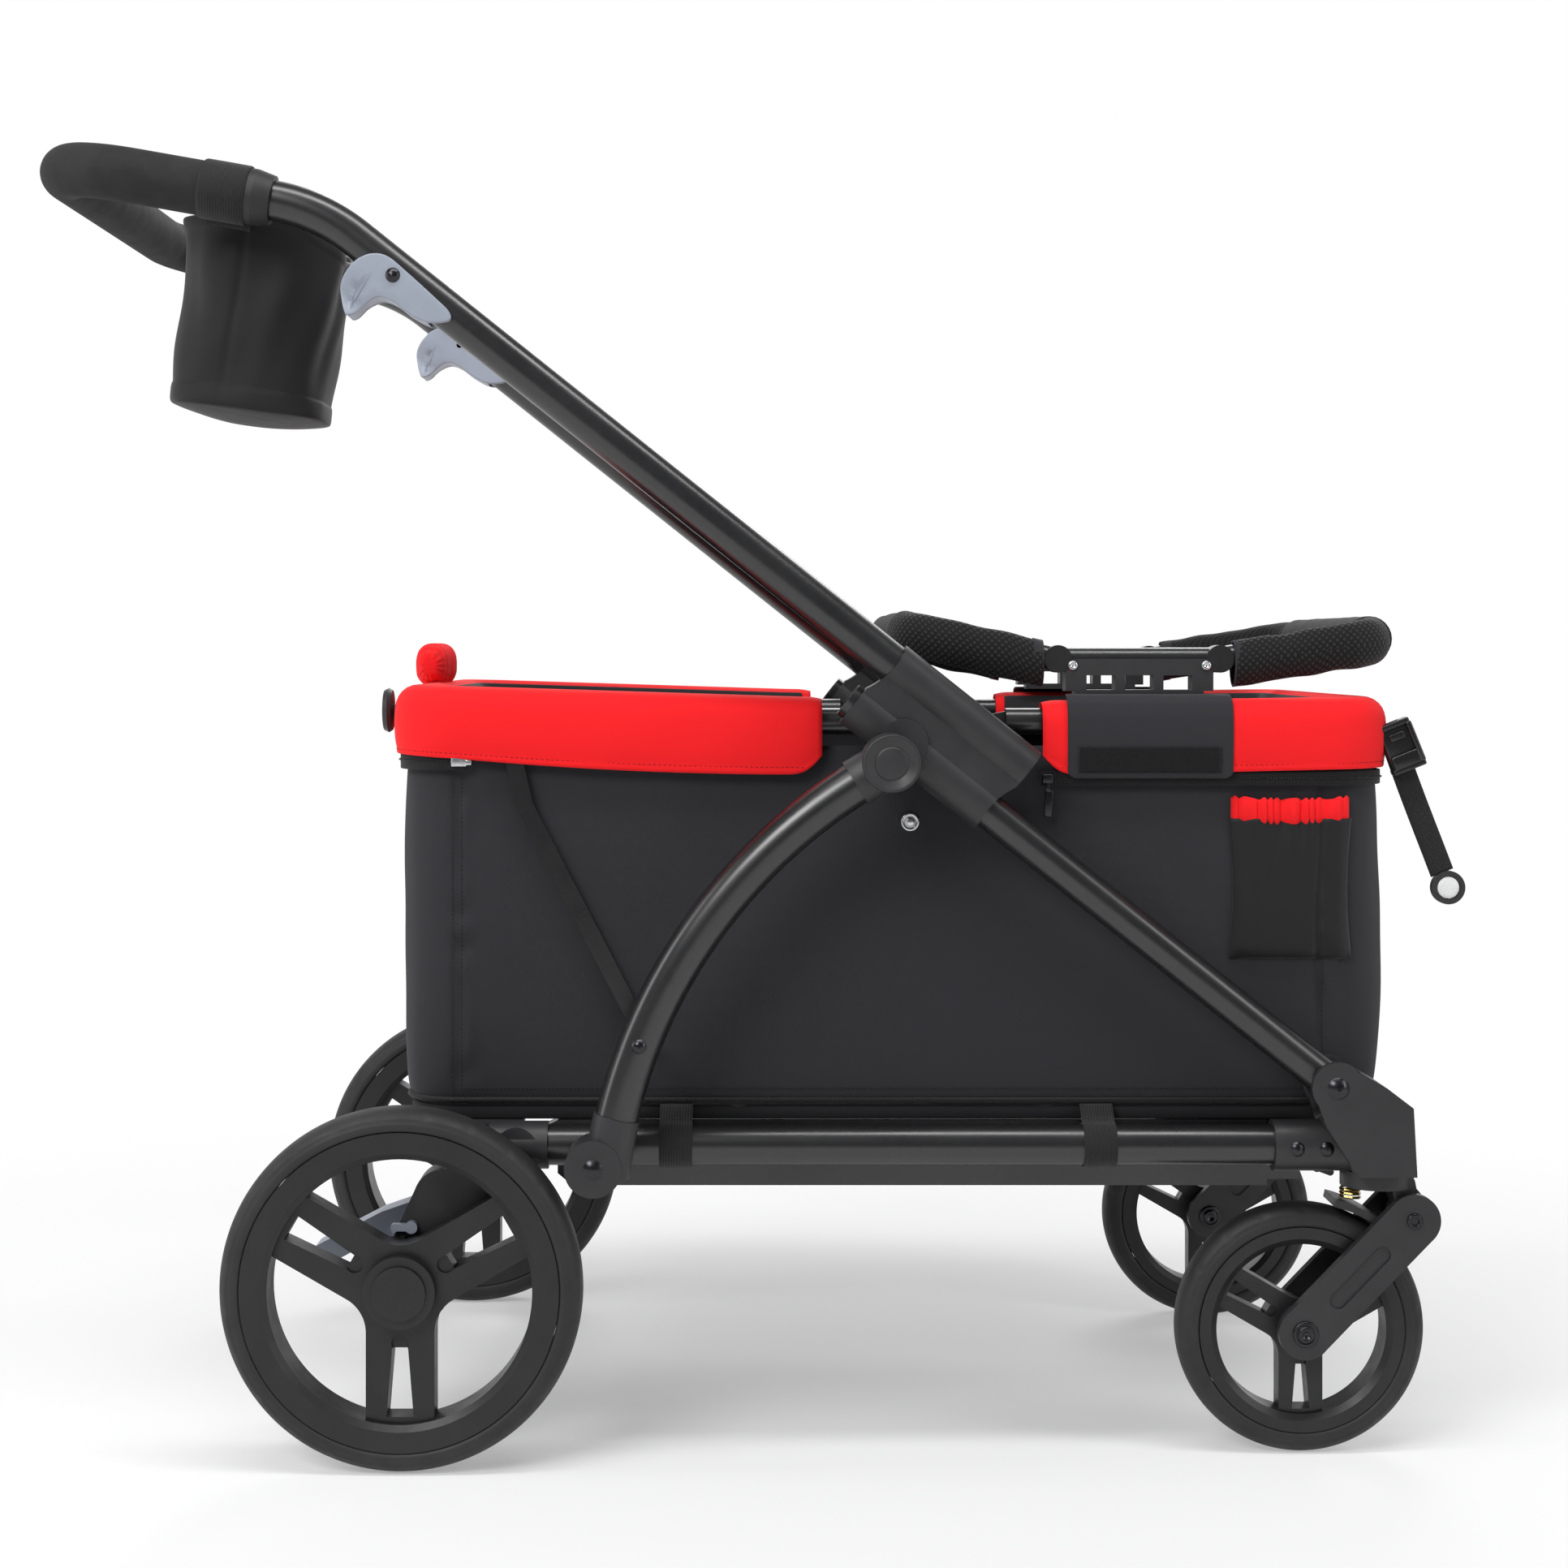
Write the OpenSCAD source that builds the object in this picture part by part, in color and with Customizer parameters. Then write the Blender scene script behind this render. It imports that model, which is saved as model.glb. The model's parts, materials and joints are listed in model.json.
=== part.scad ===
// Folding stroller wagon. X points forward (casters), Y to the left, Z up, in millimetres.
// The origin is on the floor, at the centre of the wagon's box.

/* [Rear wheels] */
// Outer diameter of a rear tyre
rear_d = 292; // [260:1:310]
// Width of a rear tyre
rear_w = 44; // [36:1:46]
// Outer diameter of the rear rim, under the tyre
rear_rim_d = 256; // [230:1:262]
// Distance between the rear wheels' mid-planes
rear_track = 566; // [564:1:580]
// Distance from the rear axle back to the front pivots' line
rear_axle_back = 757; // [750:1:765]

/* [Front casters] */
// Outer diameter of a front tyre
front_d = 204; // [190:1:206]
// Width of a front tyre
front_w = 38; // [32:1:40]
// Outer diameter of the front rim, under the tyre
front_rim_d = 168; // [160:1:172]
// Distance between the two swivel axes
front_track = 456; // [450:1:462]
// Swivel axis ahead of the front pivots
swivel_ahead = 41; // [38:1:44]
// Distance of the front axle behind the swivel axis
trail = 65; // [62:1:68]
// Swing arm pivot ahead of the swivel axis
arm_pivot_ahead = 24; // [22:1:26]
// Height of the swing arm pivot
arm_pivot_z = 194; // [192:1:196]
// Width of a swing arm
arm_w = 43; // [36:1:44]

/* [Frame tubes] */
// Diameter of the bottom side tubes and of the handle tubes
tube_d = 33; // [30:0.5:34]
// Diameter of the sliding front legs
leg_d = 30; // [26:0.5:31]
// Diameter of the curved rear legs
rear_leg_d = 35; // [30:0.5:35]
// Wall of every tube
tube_wall = 1.6; // [1.2:0.1:2.5]
// Height of the bottom side tubes' axes
side_z = 253; // [250:1:256]
// Distance of a side tube from the mid-plane
side_y = 240; // [239:0.5:242]
// Distance of the handle tubes and front legs from the mid-plane
slide_y = 250; // [249.5:0.1:250.4]
// Distance of the curved rear legs from the mid-plane
rear_leg_y = 287; // [287:0.5:289]

/* [Fold geometry] */
// Height of the front pivots
front_pivot_z = 304; // [302:1:308]
// Slope of the front legs and handle tubes
leg_slope = 38.5; // [38:0.1:39]
// Distance between a front leg's axis and the handle tube above it
barrel_pitch = 45; // [43:0.5:48]
// Slider housing's middle, up the front leg from its pivot
housing_up = 428; // [420:1:436]
// Length of a slider housing
housing_len = 145; // [130:1:150]
// Rear legs' foot pivot behind the front pivots
foot_back = 602; // [600:1:604]
// Height of the rear legs' foot pivot
foot_z = 245; // [244:1:248]
// Rear legs' top pivot ahead of the foot pivot
knee_ahead = 238.6; // [236:0.1:241]
// Rear legs' top pivot above the foot pivot
knee_rise = 324; // [322:1:326]
// Bend radius of a curved rear leg
rear_leg_bend = 437; // [430:1:444]
// Slope of a rear leg at its foot
foot_slope = 77; // [76:0.5:78]
// Slope of a rear leg at its top
knee_slope = 31.4; // [30.5:0.1:32.5]

/* [Handle] */
// Straight handle tube, measured up the leg from the front pivot to the bend
handle_up = 1056; // [1020:1:1080]
// Bend radius below the grip
handle_bend = 150; // [120:1:170]
// Slope of the grip
grip_slope = 10; // [6:0.5:14]
// Length from the bend to the grip's cross bar
grip_reach = 188; // [170:1:200]
// Corner radius of the grip
grip_corner = 72; // [60:1:90]
// Diameter of the foam grip
grip_d = 45; // [40:0.5:46]
// Start of the foam behind the bend
foam_start = 24; // [20:1:40]
// Turn of a release lever when it is squeezed
lever_turn = 10; // [6:1:10]

/* [Basket and rim] */
// Inside length of the fabric basket
basket_len = 809; // [800:1:812]
// Rear wall's inside behind the front pivots
basket_back = 763; // [760:1:766]
// Distance of a side wall's outer face from the mid-plane
wall_y = 222.5; // [222:0.1:223]
// Thickness of the fabric walls
wall_t = 3; // [2:0.1:3.2]
// Top of the floor board
floor_z = 282; // [281:0.5:284]
// Thickness of the floor board
floor_t = 12; // [10:0.5:12.5]
// Height of the rim rails' axes
rail_z = 600; // [598:1:602]
// Diameter of the rim rails
rail_d = 22; // [19:0.5:22]
// Distance of the rim rails from the mid-plane
rail_y = 208; // [206:0.5:208]
// Corner radius of the rim rails
rail_corner = 32; // [28:1:40]
// Height of the padded rim covers' tops
cover_top = 621; // [620:1:626]
// Height of the padded rim covers' lower hems
cover_hem = 556; // [550:1:560]
// Distance of a cover's outer face from the mid-plane
cover_y = 233; // [232.6:0.1:233.2]
// Thickness of a rim cover's cloth
cover_t = 3; // [2:0.1:3]

/* [Adapter] */
// Diameter of the adapter's bars
adapter_d = 20; // [16:0.5:22]
// Distance of the adapter's side bars from the mid-plane
adapter_y = 200; // [196:1:202]
// Length of the adapter between the axes of its cross bars
adapter_len = 399; // [380:1:405]
// Height of the adapter's side bars over their brackets
adapter_z = 652; // [650:1:656]
// Rise of the adapter's bars at its rear cross bar
adapter_rise_rear = 27; // [20:1:32]
// Rise of the adapter's bars at its front cross bar
adapter_rise_front = 22; // [16:1:28]
// Length of an adapter bracket
bracket_len = 135; // [120:1:140]

/* [Hidden] */
$fn = 48;
RIGHT = -1;
LEFT = 1;

// Running gap round a pin, gap between parts that pass each other, gap under a soft part
run_gap = 0.05;
pass_gap = 0.5;
soft_gap = 0.3;

// Frame points as [x, z], before the whole wagon is centred on its box
front_pivot_x = 476;
front_pivot = [front_pivot_x, front_pivot_z];
foot_pivot = [front_pivot_x - foot_back, foot_z];
knee_pivot = foot_pivot + [knee_ahead, knee_rise];
rear_axle_at = [front_pivot_x - rear_axle_back, rear_d / 2];
swivel_x = front_pivot_x + swivel_ahead;
front_axle_at = [swivel_x - trail, front_d / 2];
arm_pivot = [swivel_x + arm_pivot_ahead, arm_pivot_z];
wheel_y = rear_track / 2;
caster_y = front_track / 2;
tube_r = tube_d / 2;
leg_r = leg_d / 2;
rear_leg_r = rear_leg_d / 2;
rail_r = rail_d / 2;
grip_r = grip_d / 2;
pin_r = 6;
bolt_head_r = 9;

// Points on the sliding leg's own axes: x runs down the leg to its pivot, z stands off it
function leg_point(x, z) = front_pivot + [
    x * cos(leg_slope) + z * sin(leg_slope), -x * sin(leg_slope) + z * cos(leg_slope)];
bend_centre = leg_point(-handle_up, barrel_pitch - handle_bend);
grip_start = bend_centre + handle_bend * [sin(grip_slope), cos(grip_slope)];
function grip_point(back) = grip_start + back * [-cos(grip_slope), sin(grip_slope)];

// Basket and rim
basket_x0 = front_pivot_x - basket_back;
basket_x1 = basket_x0 + basket_len;
rail_x0 = basket_x0 + rail_r + 1;
rail_x1 = basket_x1 - rail_r - 1;
rail_pivot = leg_point(-housing_up - 3, barrel_pitch / 2 - 4);
wall_out = wall_y - rail_y;
cover_over = cover_y - rail_y;
floor_under = floor_z - floor_t;
rail_blade_t = 5.6;
link_y = 227.2;
link_t = 4;

// The pull strap hangs from the right front corner of the rim
strap_y = -200;
strap_slope = 22;
strap_len = 112;
strap_w = 25;
strap_t = 3;
ring_r = 14;
strap_edge = abs(strap_y) - strap_w / 2 - rail_y + rail_corner;
strap_seat = rail_x1 - rail_corner + sqrt(pow(rail_corner + cover_over, 2) - pow(strap_edge, 2));
strap_top = [strap_seat + soft_gap + strap_t / 2, rail_z - 22];
strap_end = strap_top + strap_len * [sin(strap_slope), -cos(strap_slope)];
ring_at = strap_end + (ring_r + soft_gap) * [sin(strap_slope), -cos(strap_slope)];

// The wagon's ends set the middle of its box
wagon_rear = grip_point(grip_reach)[0] - grip_r;
wagon_front = ring_at[0] + ring_r;
centre_x = (wagon_rear + wagon_front) / 2;

// Colours as photographed
satin_black = "#161618";
charcoal = "#2b2b2e";
cloth_black = "#1b1b1d";
cloth_red = "#f02020";
lever_grey = "#8f99a6";
steel = "#b9bcc0";
gold = "#b8963c";

// Builds on the left, or its mirror image on the right
module on_side(side) {
    if (side == LEFT) children();
    else mirror([0, 1, 0]) children();
}

// Moves the wagon so that its box is centred over the origin
module placed() {
    translate([-centre_x, 0, 0]) children();
}

// An outline drawn in x and z, extruded from y0 to y1
module across(y0, y1) {
    translate([0, y1, 0]) rotate([90, 0, 0]) linear_extrude(y1 - y0) children();
}

module rod_y(at, r, y0, y1) {
    across(y0, y1) translate(at) circle(r);
}

module pipe_x(x0, x1, r, wall) {
    translate([x0, 0, 0]) rotate([0, 90, 0]) difference() {
        cylinder(r = r, h = x1 - x0);
        translate([0, 0, -1]) cylinder(r = r - wall, h = x1 - x0 + 2);
    }
}

// A straight bar with round ends, which stand proud of its sides by a hair
module bar_2d(from, to, r) {
    run = to - from;
    side = r - 0.1;
    translate(from) circle(r);
    translate(to) circle(r);
    translate(from) rotate(atan2(run[1], run[0])) translate([0, -side]) square([norm(run), 2 * side]);
}

// Plan of a rounded rectangle that runs from x0 to x1 and half_w to each side
module round_plan(x0, x1, half_w, r) {
    translate([x0 + r, -half_w]) square([x1 - x0 - 2 * r, 2 * half_w]);
    translate([x0, -half_w + r]) square([x1 - x0, 2 * (half_w - r)]);
    for (x = [x0 + r, x1 - r], y = [-half_w + r, half_w - r]) translate([x, y]) circle(r);
}

// Frame of a sliding leg: x down the leg to the front pivot, z square to it
module leg_frame() {
    translate([front_pivot[0], slide_y, front_pivot[1]]) rotate([0, leg_slope, 0]) children();
}

// Frame of the grip: x forward and down along it, from the end of the bend
module grip_frame() {
    translate([grip_start[0], 0, grip_start[1]]) rotate([0, grip_slope, 0]) children();
}

module tube_section(r, wall) {
    difference() {
        circle(r);
        circle(r - wall);
    }
}

// A U of tube: two sides from x = 0, round corners and a cross bar at x = length
module u_bar(length, half_y, corner, r, wall) {
    for (side = [RIGHT, LEFT]) on_side(side) {
        translate([0, half_y, 0]) pipe_x(0, length - corner, r, wall);
        translate([length - corner, half_y - corner, 0]) rotate_extrude(angle = 90) translate([corner, 0])
            tube_section(r, wall);
        translate([length, 0, 0]) rotate([-90, 0, 0]) linear_extrude(half_y - corner) tube_section(r, wall);
    }
}

// Bottom frame

sleeve_len = 66;
sleeve_t = 4.5;
sleeve_x0 = front_pivot_x - 48;
bracket_lap = 34;
side_x0 = rear_axle_at[0] + 81;

module side_tube(side) {
    color(satin_black) placed() on_side(side) difference() {
        translate([0, side_y, side_z]) pipe_x(side_x0, sleeve_x0 + sleeve_len, tube_r, tube_wall);
        rod_y(foot_pivot, pin_r + run_gap, side_y - tube_r - 1, side_y + tube_r + 1);
    }
}

// Moulded corner block: sleeve for the side tube, fork for the front leg, seat for the swivel
block_y0 = 206;
ear_t = 6.5;
fork_y0 = slide_y - leg_r - pass_gap;
fork_y1 = slide_y + leg_r + pass_gap;
block_floor = front_pivot_z - 72;
pivot_disc_r = 21;
cross_r = 14;
cross_socket = 8;
cross_at = [front_pivot_x + 34, floor_under - soft_gap - cross_r];

module block_outline() {
    translate(front_pivot) circle(pivot_disc_r);
    translate(front_pivot) polygon([
        [18, 13], [40, 0], [61, -16], [64, -72], [17, -72], [-10, -30], [-16, -13]]);
}

module front_block(side) {
    color(charcoal) placed() on_side(side) difference() {
        union() {
            difference() {
                across(block_y0, fork_y1 + ear_t) block_outline();
                translate([0, 0, floor_under - soft_gap]) linear_extrude(block_floor)
                    cover_plan(wall_out + pass_gap);
            }
            translate([sleeve_x0, side_y, side_z]) rotate([0, 90, 0])
                cylinder(r = tube_r + sleeve_t, h = sleeve_len);
        }
        translate([sleeve_x0 - 1, side_y, side_z]) rotate([0, 90, 0])
            cylinder(r = tube_r, h = sleeve_len + 1);
        across(fork_y0, fork_y1) bar_2d(front_pivot - [60, -4], front_pivot, pivot_disc_r + 2);
        across(fork_y0, fork_y1) bar_2d(front_pivot - [60, -48], front_pivot, pivot_disc_r + 2);
        rod_y(front_pivot, pin_r, block_y0 - 1, fork_y1 + ear_t + 1);
        translate([swivel_x, caster_y, block_floor - 1]) cylinder(r = stem_r + run_gap, h = stem_h + 2);
        across(block_y0 - 1, block_y0 + cross_socket) translate(cross_at) circle(cross_r);
    }
}

module front_cross_tube() {
    half = block_y0 + cross_socket;
    color(satin_black) placed() difference() {
        rod_y(cross_at, cross_r, -half, half);
        rod_y(cross_at, cross_r - tube_wall, -half - 1, half + 1);
    }
}

// Rear bracket: clamps the side tube's end and drops to the axle
rear_inner_y = 206;
rear_outer_y = side_y + tube_r + 1.5;
axle_tube_r = 11;
axle_r = 7;

module rear_bracket(side) {
    boss = rear_axle_at;
    color(charcoal) placed() on_side(side) difference() {
        union() {
            across(side_y - 15, rear_outer_y) {
                bar_2d(boss, boss + [30, 66], 24);
                bar_2d(boss + [30, 66], [side_x0 + 8, side_z - 4], 20);
            }
            translate([side_x0 - 14, side_y, side_z]) rotate([0, 90, 0])
                cylinder(r = tube_r + 3, h = bracket_lap + 14);
            across(rear_inner_y, side_y) translate([basket_x0 + 4, floor_under - 22])
                square([side_x0 - basket_x0 + 8, 22]);
        }
        translate([side_x0, side_y, side_z]) rotate([0, 90, 0]) cylinder(r = tube_r, h = bracket_lap + 1);
        rod_y(boss, axle_tube_r, side_y - 40, side_y - 4);
        rod_y(boss, axle_r, side_y - 5, rear_outer_y + 1);
        rod_y(brake_at, brake_rod_r + run_gap, rear_inner_y - 1, rear_outer_y + 1);
    }
}

module rear_axle() {
    color(steel) placed() {
        rod_y(rear_axle_at, axle_tube_r, 4 - side_y, side_y - 4);
        rod_y(rear_axle_at, axle_r, -wheel_y - rear_w / 2 + 4, wheel_y + rear_w / 2 - 4);
    }
}

module floor_board() {
    color(cloth_black) placed() translate([0, 0, floor_under]) linear_extrude(floor_t)
        cover_plan(wall_out - wall_t - 1);
}

// Pressed rails under the floor, deeper at the front where they meet the blocks
module floor_rails() {
    rail_out = side_y - tube_r - 2;
    back = side_x0 + 40;
    front = sleeve_x0 - pass_gap;
    color(satin_black) placed() for (side = [RIGHT, LEFT]) on_side(side) {
        across(rail_out - 6, rail_out) polygon([
            [back, floor_under], [front, floor_under], [front, floor_under - 54],
            [back + 12, floor_under - 54], [back, floor_under - 44]]);
        across(rail_out - 15, rail_out - 6) translate([front - 56, floor_under - 50]) square([84, 50]);
    }
}

// Pivot bolts at the front forks and the rear legs' feet, and the sleeves' dome screws
module frame_bolts() {
    fork_out = fork_y1 + ear_t;
    boot_out = rear_leg_y + boot_half;
    color(steel) placed() for (side = [RIGHT, LEFT]) on_side(side) {
        rod_y(front_pivot, pin_r, fork_y0 - 8, fork_out);
        translate([front_pivot[0], fork_out, front_pivot[1]]) dome_head(bolt_head_r, 4);
        rod_y(foot_pivot, pin_r, side_y - tube_r, boot_out + soft_gap);
        translate([foot_pivot[0], boot_out + soft_gap, foot_pivot[1]]) dome_head(bolt_head_r - 1, 3);
        rod_y(foot_pivot, pin_r + 4, side_y + tube_r, rear_leg_y - boot_half - soft_gap);
        for (x = [17, 41]) translate([sleeve_x0 + x, side_y + tube_r + sleeve_t, side_z]) dome_head(6, 3);
    }
}

// A domed head that stands on the plane y = 0 and bulges to +y
module dome_head(r, h) {
    ball = (r * r + h * h) / (2 * h);
    rotate([-90, 0, 0]) intersection() {
        translate([0, 0, h - ball]) sphere(ball);
        cylinder(r = r, h = h);
    }
}

// Fabric basket: two sides that turn the corners and two ends, each a sewn panel
panel_top = cover_hem + 18;
panel_foot = floor_z + soft_gap;
panel_split = rail_y - rail_corner;

module basket_wall() {
    translate([0, 0, panel_foot]) linear_extrude(panel_top - panel_foot) difference() {
        cover_plan(wall_out);
        cover_plan(wall_out - wall_t);
    }
}

module basket_side(side) {
    color(cloth_black) placed() on_side(side) intersection() {
        basket_wall();
        translate([basket_x0 - 50, panel_split, 0]) cube([basket_len + 100, wall_y, rail_z]);
    }
}

module basket_end(x) {
    color(cloth_black) placed() intersection() {
        basket_wall();
        translate([x - 50, -panel_split, 0]) cube([100, 2 * panel_split, rail_z]);
    }
}

module basket_front() {
    basket_end(basket_x1);
}

module basket_rear() {
    basket_end(basket_x0);
}

// Sliding front legs and the handle

leg_top = housing_up + housing_len / 2 + 6;
leg_cap_r = pivot_disc_r - 2;
leg_cap_half = leg_r + pass_gap / 2;

module front_leg(side) {
    color(satin_black) placed() on_side(side) difference() {
        union() {
            leg_frame() translate([-leg_top, 0, 0]) rotate([0, 90, 0]) cylinder(r = leg_r, h = leg_top);
            rod_y(front_pivot, leg_cap_r, slide_y - leg_cap_half, slide_y + leg_cap_half);
        }
        leg_frame() translate([-leg_top - 1, 0, 0]) rotate([0, 90, 0])
            cylinder(r = leg_r - tube_wall, h = leg_top - 30);
        rod_y(front_pivot, pin_r + run_gap, slide_y - leg_r - 1, slide_y + leg_r + 1);
    }
}

handle_foot = housing_up - housing_len / 2 + 14;

// The grip's tube is a hair thicker than the bend that it laps over
grip_tube_r = tube_r + 0.05;
grip_lap = 1;

module handle_side() {
    leg_frame() translate([-handle_up, 0, barrel_pitch]) rotate([0, 90, 0])
        linear_extrude(handle_up - handle_foot) tube_section(tube_r, tube_wall);
    leg_frame() translate([-handle_up, 0, barrel_pitch - handle_bend]) rotate([90, 0, 0]) rotate([0, 0, 90])
        rotate_extrude(angle = leg_slope - grip_slope) translate([handle_bend, 0])
        tube_section(tube_r, tube_wall);
}

module grip_sweep(start, r, wall) {
    grip_frame() translate([-start, 0, 0]) rotate([0, 0, 180])
        u_bar(grip_reach - start, slide_y, grip_corner, r, wall);
}

module handle_tube() {
    color(satin_black) placed() difference() {
        union() {
            for (side = [RIGHT, LEFT]) on_side(side) handle_side();
            grip_sweep(-grip_lap, grip_tube_r, tube_wall + 0.1);
        }
        for (side = [RIGHT, LEFT]) on_side(side)
            rod_y(lever_pivot, lever_pin_r, slide_y - tube_r - 1, slide_y + tube_r + 1);
    }
}

module handle_grip() {
    color(cloth_black) placed() grip_sweep(foam_start, grip_r, grip_r - grip_tube_r);
}

// Rubber collars in front of the foam
module grip_collars() {
    color(charcoal) placed() for (side = [RIGHT, LEFT]) on_side(side) grip_frame()
        translate([-foam_start, slide_y, 0]) rotate([0, 90, 0]) rotate_extrude() polygon([
            [grip_tube_r, 0], [grip_r + 0.5, 0], [grip_r + 0.5, 9], [grip_r - 2.5, foam_start - 1],
            [grip_tube_r, foam_start - 1]]);
}

// Double-barrel slider housing: the handle tube is fixed in the upper barrel
barrel_r = tube_r + 2.5;
knee_local = [
    (knee_pivot - front_pivot) * [cos(leg_slope), -sin(leg_slope)],
    (knee_pivot - front_pivot) * [sin(leg_slope), cos(leg_slope)]];
knee_boss_r = 23.7;
end_cut_r = 62;

module slider_housing(side) {
    color(charcoal) placed() on_side(side) difference() {
        union() {
            leg_frame() translate([-housing_up - housing_len / 2, 0, 0]) rotate([90, 0, 90])
                linear_extrude(housing_len) {
                    circle(barrel_r);
                    translate([0, barrel_pitch]) circle(barrel_r);
                    translate([-barrel_r + 4, 0]) square([2 * barrel_r - 8, barrel_pitch]);
                }
            leg_frame() across(0, barrel_r) bar_2d(knee_local, [knee_local[0], 0], knee_boss_r - 4);
            leg_frame() across(-barrel_r, 0) translate([-housing_up - 24, barrel_pitch / 2 - 22]) square([42, 36]);
        }
        leg_frame() translate([-housing_up - housing_len, 0, 0]) rotate([0, 90, 0])
            cylinder(r = leg_r + 0.1, h = 2 * housing_len);
        leg_frame() translate([-handle_up, 0, barrel_pitch]) rotate([0, 90, 0])
            cylinder(r = tube_r, h = handle_up - handle_foot);
        leg_frame() across(-barrel_r - 1, barrel_r + 1)
            translate([-housing_up - housing_len / 2 - end_cut_r + 7, barrel_pitch]) circle(end_cut_r);
        leg_frame() across(-barrel_r - 1, barrel_r + 1)
            translate([-housing_up + housing_len / 2 + end_cut_r - 7, 0]) circle(end_cut_r);
        rod_y(rail_pivot, rail_pin_r, slide_y - barrel_r - 1, slide_y - leg_r - 1);
    }
}

rail_pin_r = 5;
lever_pin_r = 3;
lever_pivot = leg_point(-handle_up + 46, barrel_pitch - 6);
lever_half = tube_r + 4;

// Pins that carry the rim rails, and the release levers' rivets
module handle_pins() {
    color(steel) placed() for (side = [RIGHT, LEFT]) on_side(side) {
        rod_y(rail_pivot, rail_pin_r, rail_y - rail_r - 2, slide_y - leg_r - 1.5);
        rod_y(lever_pivot, lever_pin_r, slide_y - lever_half, slide_y + lever_half + soft_gap);
        translate([lever_pivot[0], slide_y + lever_half + soft_gap, lever_pivot[1]]) dome_head(6, 3);
    }
}

// Finger lever that straddles the handle tube and turns on its rivet
module lever_outline() {
    polygon([
        [-30, 2], [-12, 10], [58, 5], [58, -2], [40, -16], [8, -16], [-2, -22],
        [-6, -34], [-8, -48], [-14, -47], [-30, -32], [-32, -18]]);
}

module release_lever(side) {
    color(lever_grey) placed() on_side(side) translate([lever_pivot[0], slide_y, lever_pivot[1]])
        rotate([0, leg_slope, 0]) difference() {
            across(-lever_half, lever_half) lever_outline();
            for (turn = [0, lever_turn / 2, lever_turn]) rotate([0, -turn, 0])
                translate([-90, 0, 6]) rotate([0, 90, 0]) cylinder(r = tube_r + pass_gap, h = 180);
            across(-lever_half - 1, lever_half + 1) circle(lever_pin_r + run_gap);
            for (edge = [-1, 1]) translate([0, edge * (lever_half + 9), -34])
                rotate([0, 90, 0]) cylinder(r = 17, h = 90, center = true);
        }
}

// Cup holder bag beside the right end of the grip, with its webbing loop
bag_r = 66;
bag_h = 160;
bag_wall = 3;
bag_at = grip_point(22.6);
bag_y = slide_y - grip_r - bag_r - 2;
bag_top = bag_at[1] - 14;

module cup_holder() {
    color(cloth_black) placed() translate([bag_at[0], -bag_y, bag_top - bag_h]) rotate_extrude() polygon([
        [0, 0], [bag_r - 4, 0], [bag_r, bag_h], [bag_r - bag_wall, bag_h], [bag_r - bag_wall - 4, bag_wall],
        [0, bag_wall]]);
}

module cup_straps() {
    loop_r = grip_r + soft_gap;
    loop_w = 27;
    color(cloth_black) placed() mirror([0, 1, 0]) grip_frame()
        translate([-foam_start - pass_gap - loop_w, 0, 0])
        rotate([90, 0, 90]) linear_extrude(loop_w) difference() {
            union() {
                translate([slide_y, 0]) circle(loop_r + 2);
                translate([bag_y + bag_r + soft_gap, -46]) square([2, 46]);
            }
            translate([slide_y, 0]) circle(loop_r);
        }
}

// Curved rear legs

knee_lap = 27;
foot_lap = 8;
knee_tangent = knee_pivot - knee_lap * [cos(knee_slope), sin(knee_slope)];
rear_leg_centre = knee_tangent + rear_leg_bend * [sin(knee_slope), -cos(knee_slope)];
function rear_leg_point(slope) = rear_leg_centre + rear_leg_bend * [-sin(slope), cos(slope)];
function bend_angle(length) = length / rear_leg_bend * 180 / PI;
knee_end = knee_slope - bend_angle(knee_lap);
foot_end = foot_slope + bend_angle(foot_lap);
link_pivot = rear_leg_point(foot_slope - 8.6);
link_pin_r = 4;
boot_half = 19.5;
boot_r = 23;
boot_sleeve = 44;
cap_wall = 2.5;

// A run of the leg's bend between two slopes
module rear_leg_run(slope0, slope1) {
    translate([rear_leg_centre[0], rear_leg_y, rear_leg_centre[1]]) rotate([90, 0, 0])
        rotate([0, 0, 90 + slope0]) rotate_extrude(angle = slope1 - slope0)
        translate([rear_leg_bend, 0]) children();
}

module rear_leg(side) {
    color(satin_black) placed() on_side(side) difference() {
        rear_leg_run(knee_end, foot_end) tube_section(rear_leg_r, tube_wall);
        rod_y(link_pivot, link_pin_r, rear_leg_y - rear_leg_r - 1, rear_leg_y + rear_leg_r + 1);
    }
}

// Moulded knee hubs and foot boots on the ends of the rear legs
module rear_leg_caps() {
    inner = slide_y + barrel_r + pass_gap;
    color(charcoal) placed() for (side = [RIGHT, LEFT]) on_side(side) {
        difference() {
            union() {
                rod_y(knee_pivot, knee_boss_r, inner, rear_leg_y + rear_leg_r + cap_wall + 1);
                rear_leg_run(knee_end, knee_slope + bend_angle(6)) circle(rear_leg_r + cap_wall);
            }
            rear_leg_run(knee_end, knee_slope + bend_angle(40)) circle(rear_leg_r);
            across(inner - 20, inner) translate(knee_pivot - [80, 80]) square(160);
        }
        difference() {
            union() {
                rod_y(foot_pivot, boot_r, rear_leg_y - boot_half, rear_leg_y + boot_half);
                rear_leg_run(foot_slope - bend_angle(4), foot_slope + bend_angle(boot_sleeve))
                    circle(rear_leg_r + 1.5);
            }
            rear_leg_run(foot_slope - bend_angle(30), foot_end) circle(rear_leg_r);
            rod_y(foot_pivot, pin_r + run_gap, rear_leg_y - boot_half - 1, rear_leg_y + boot_half + 1);
        }
    }
}

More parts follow.
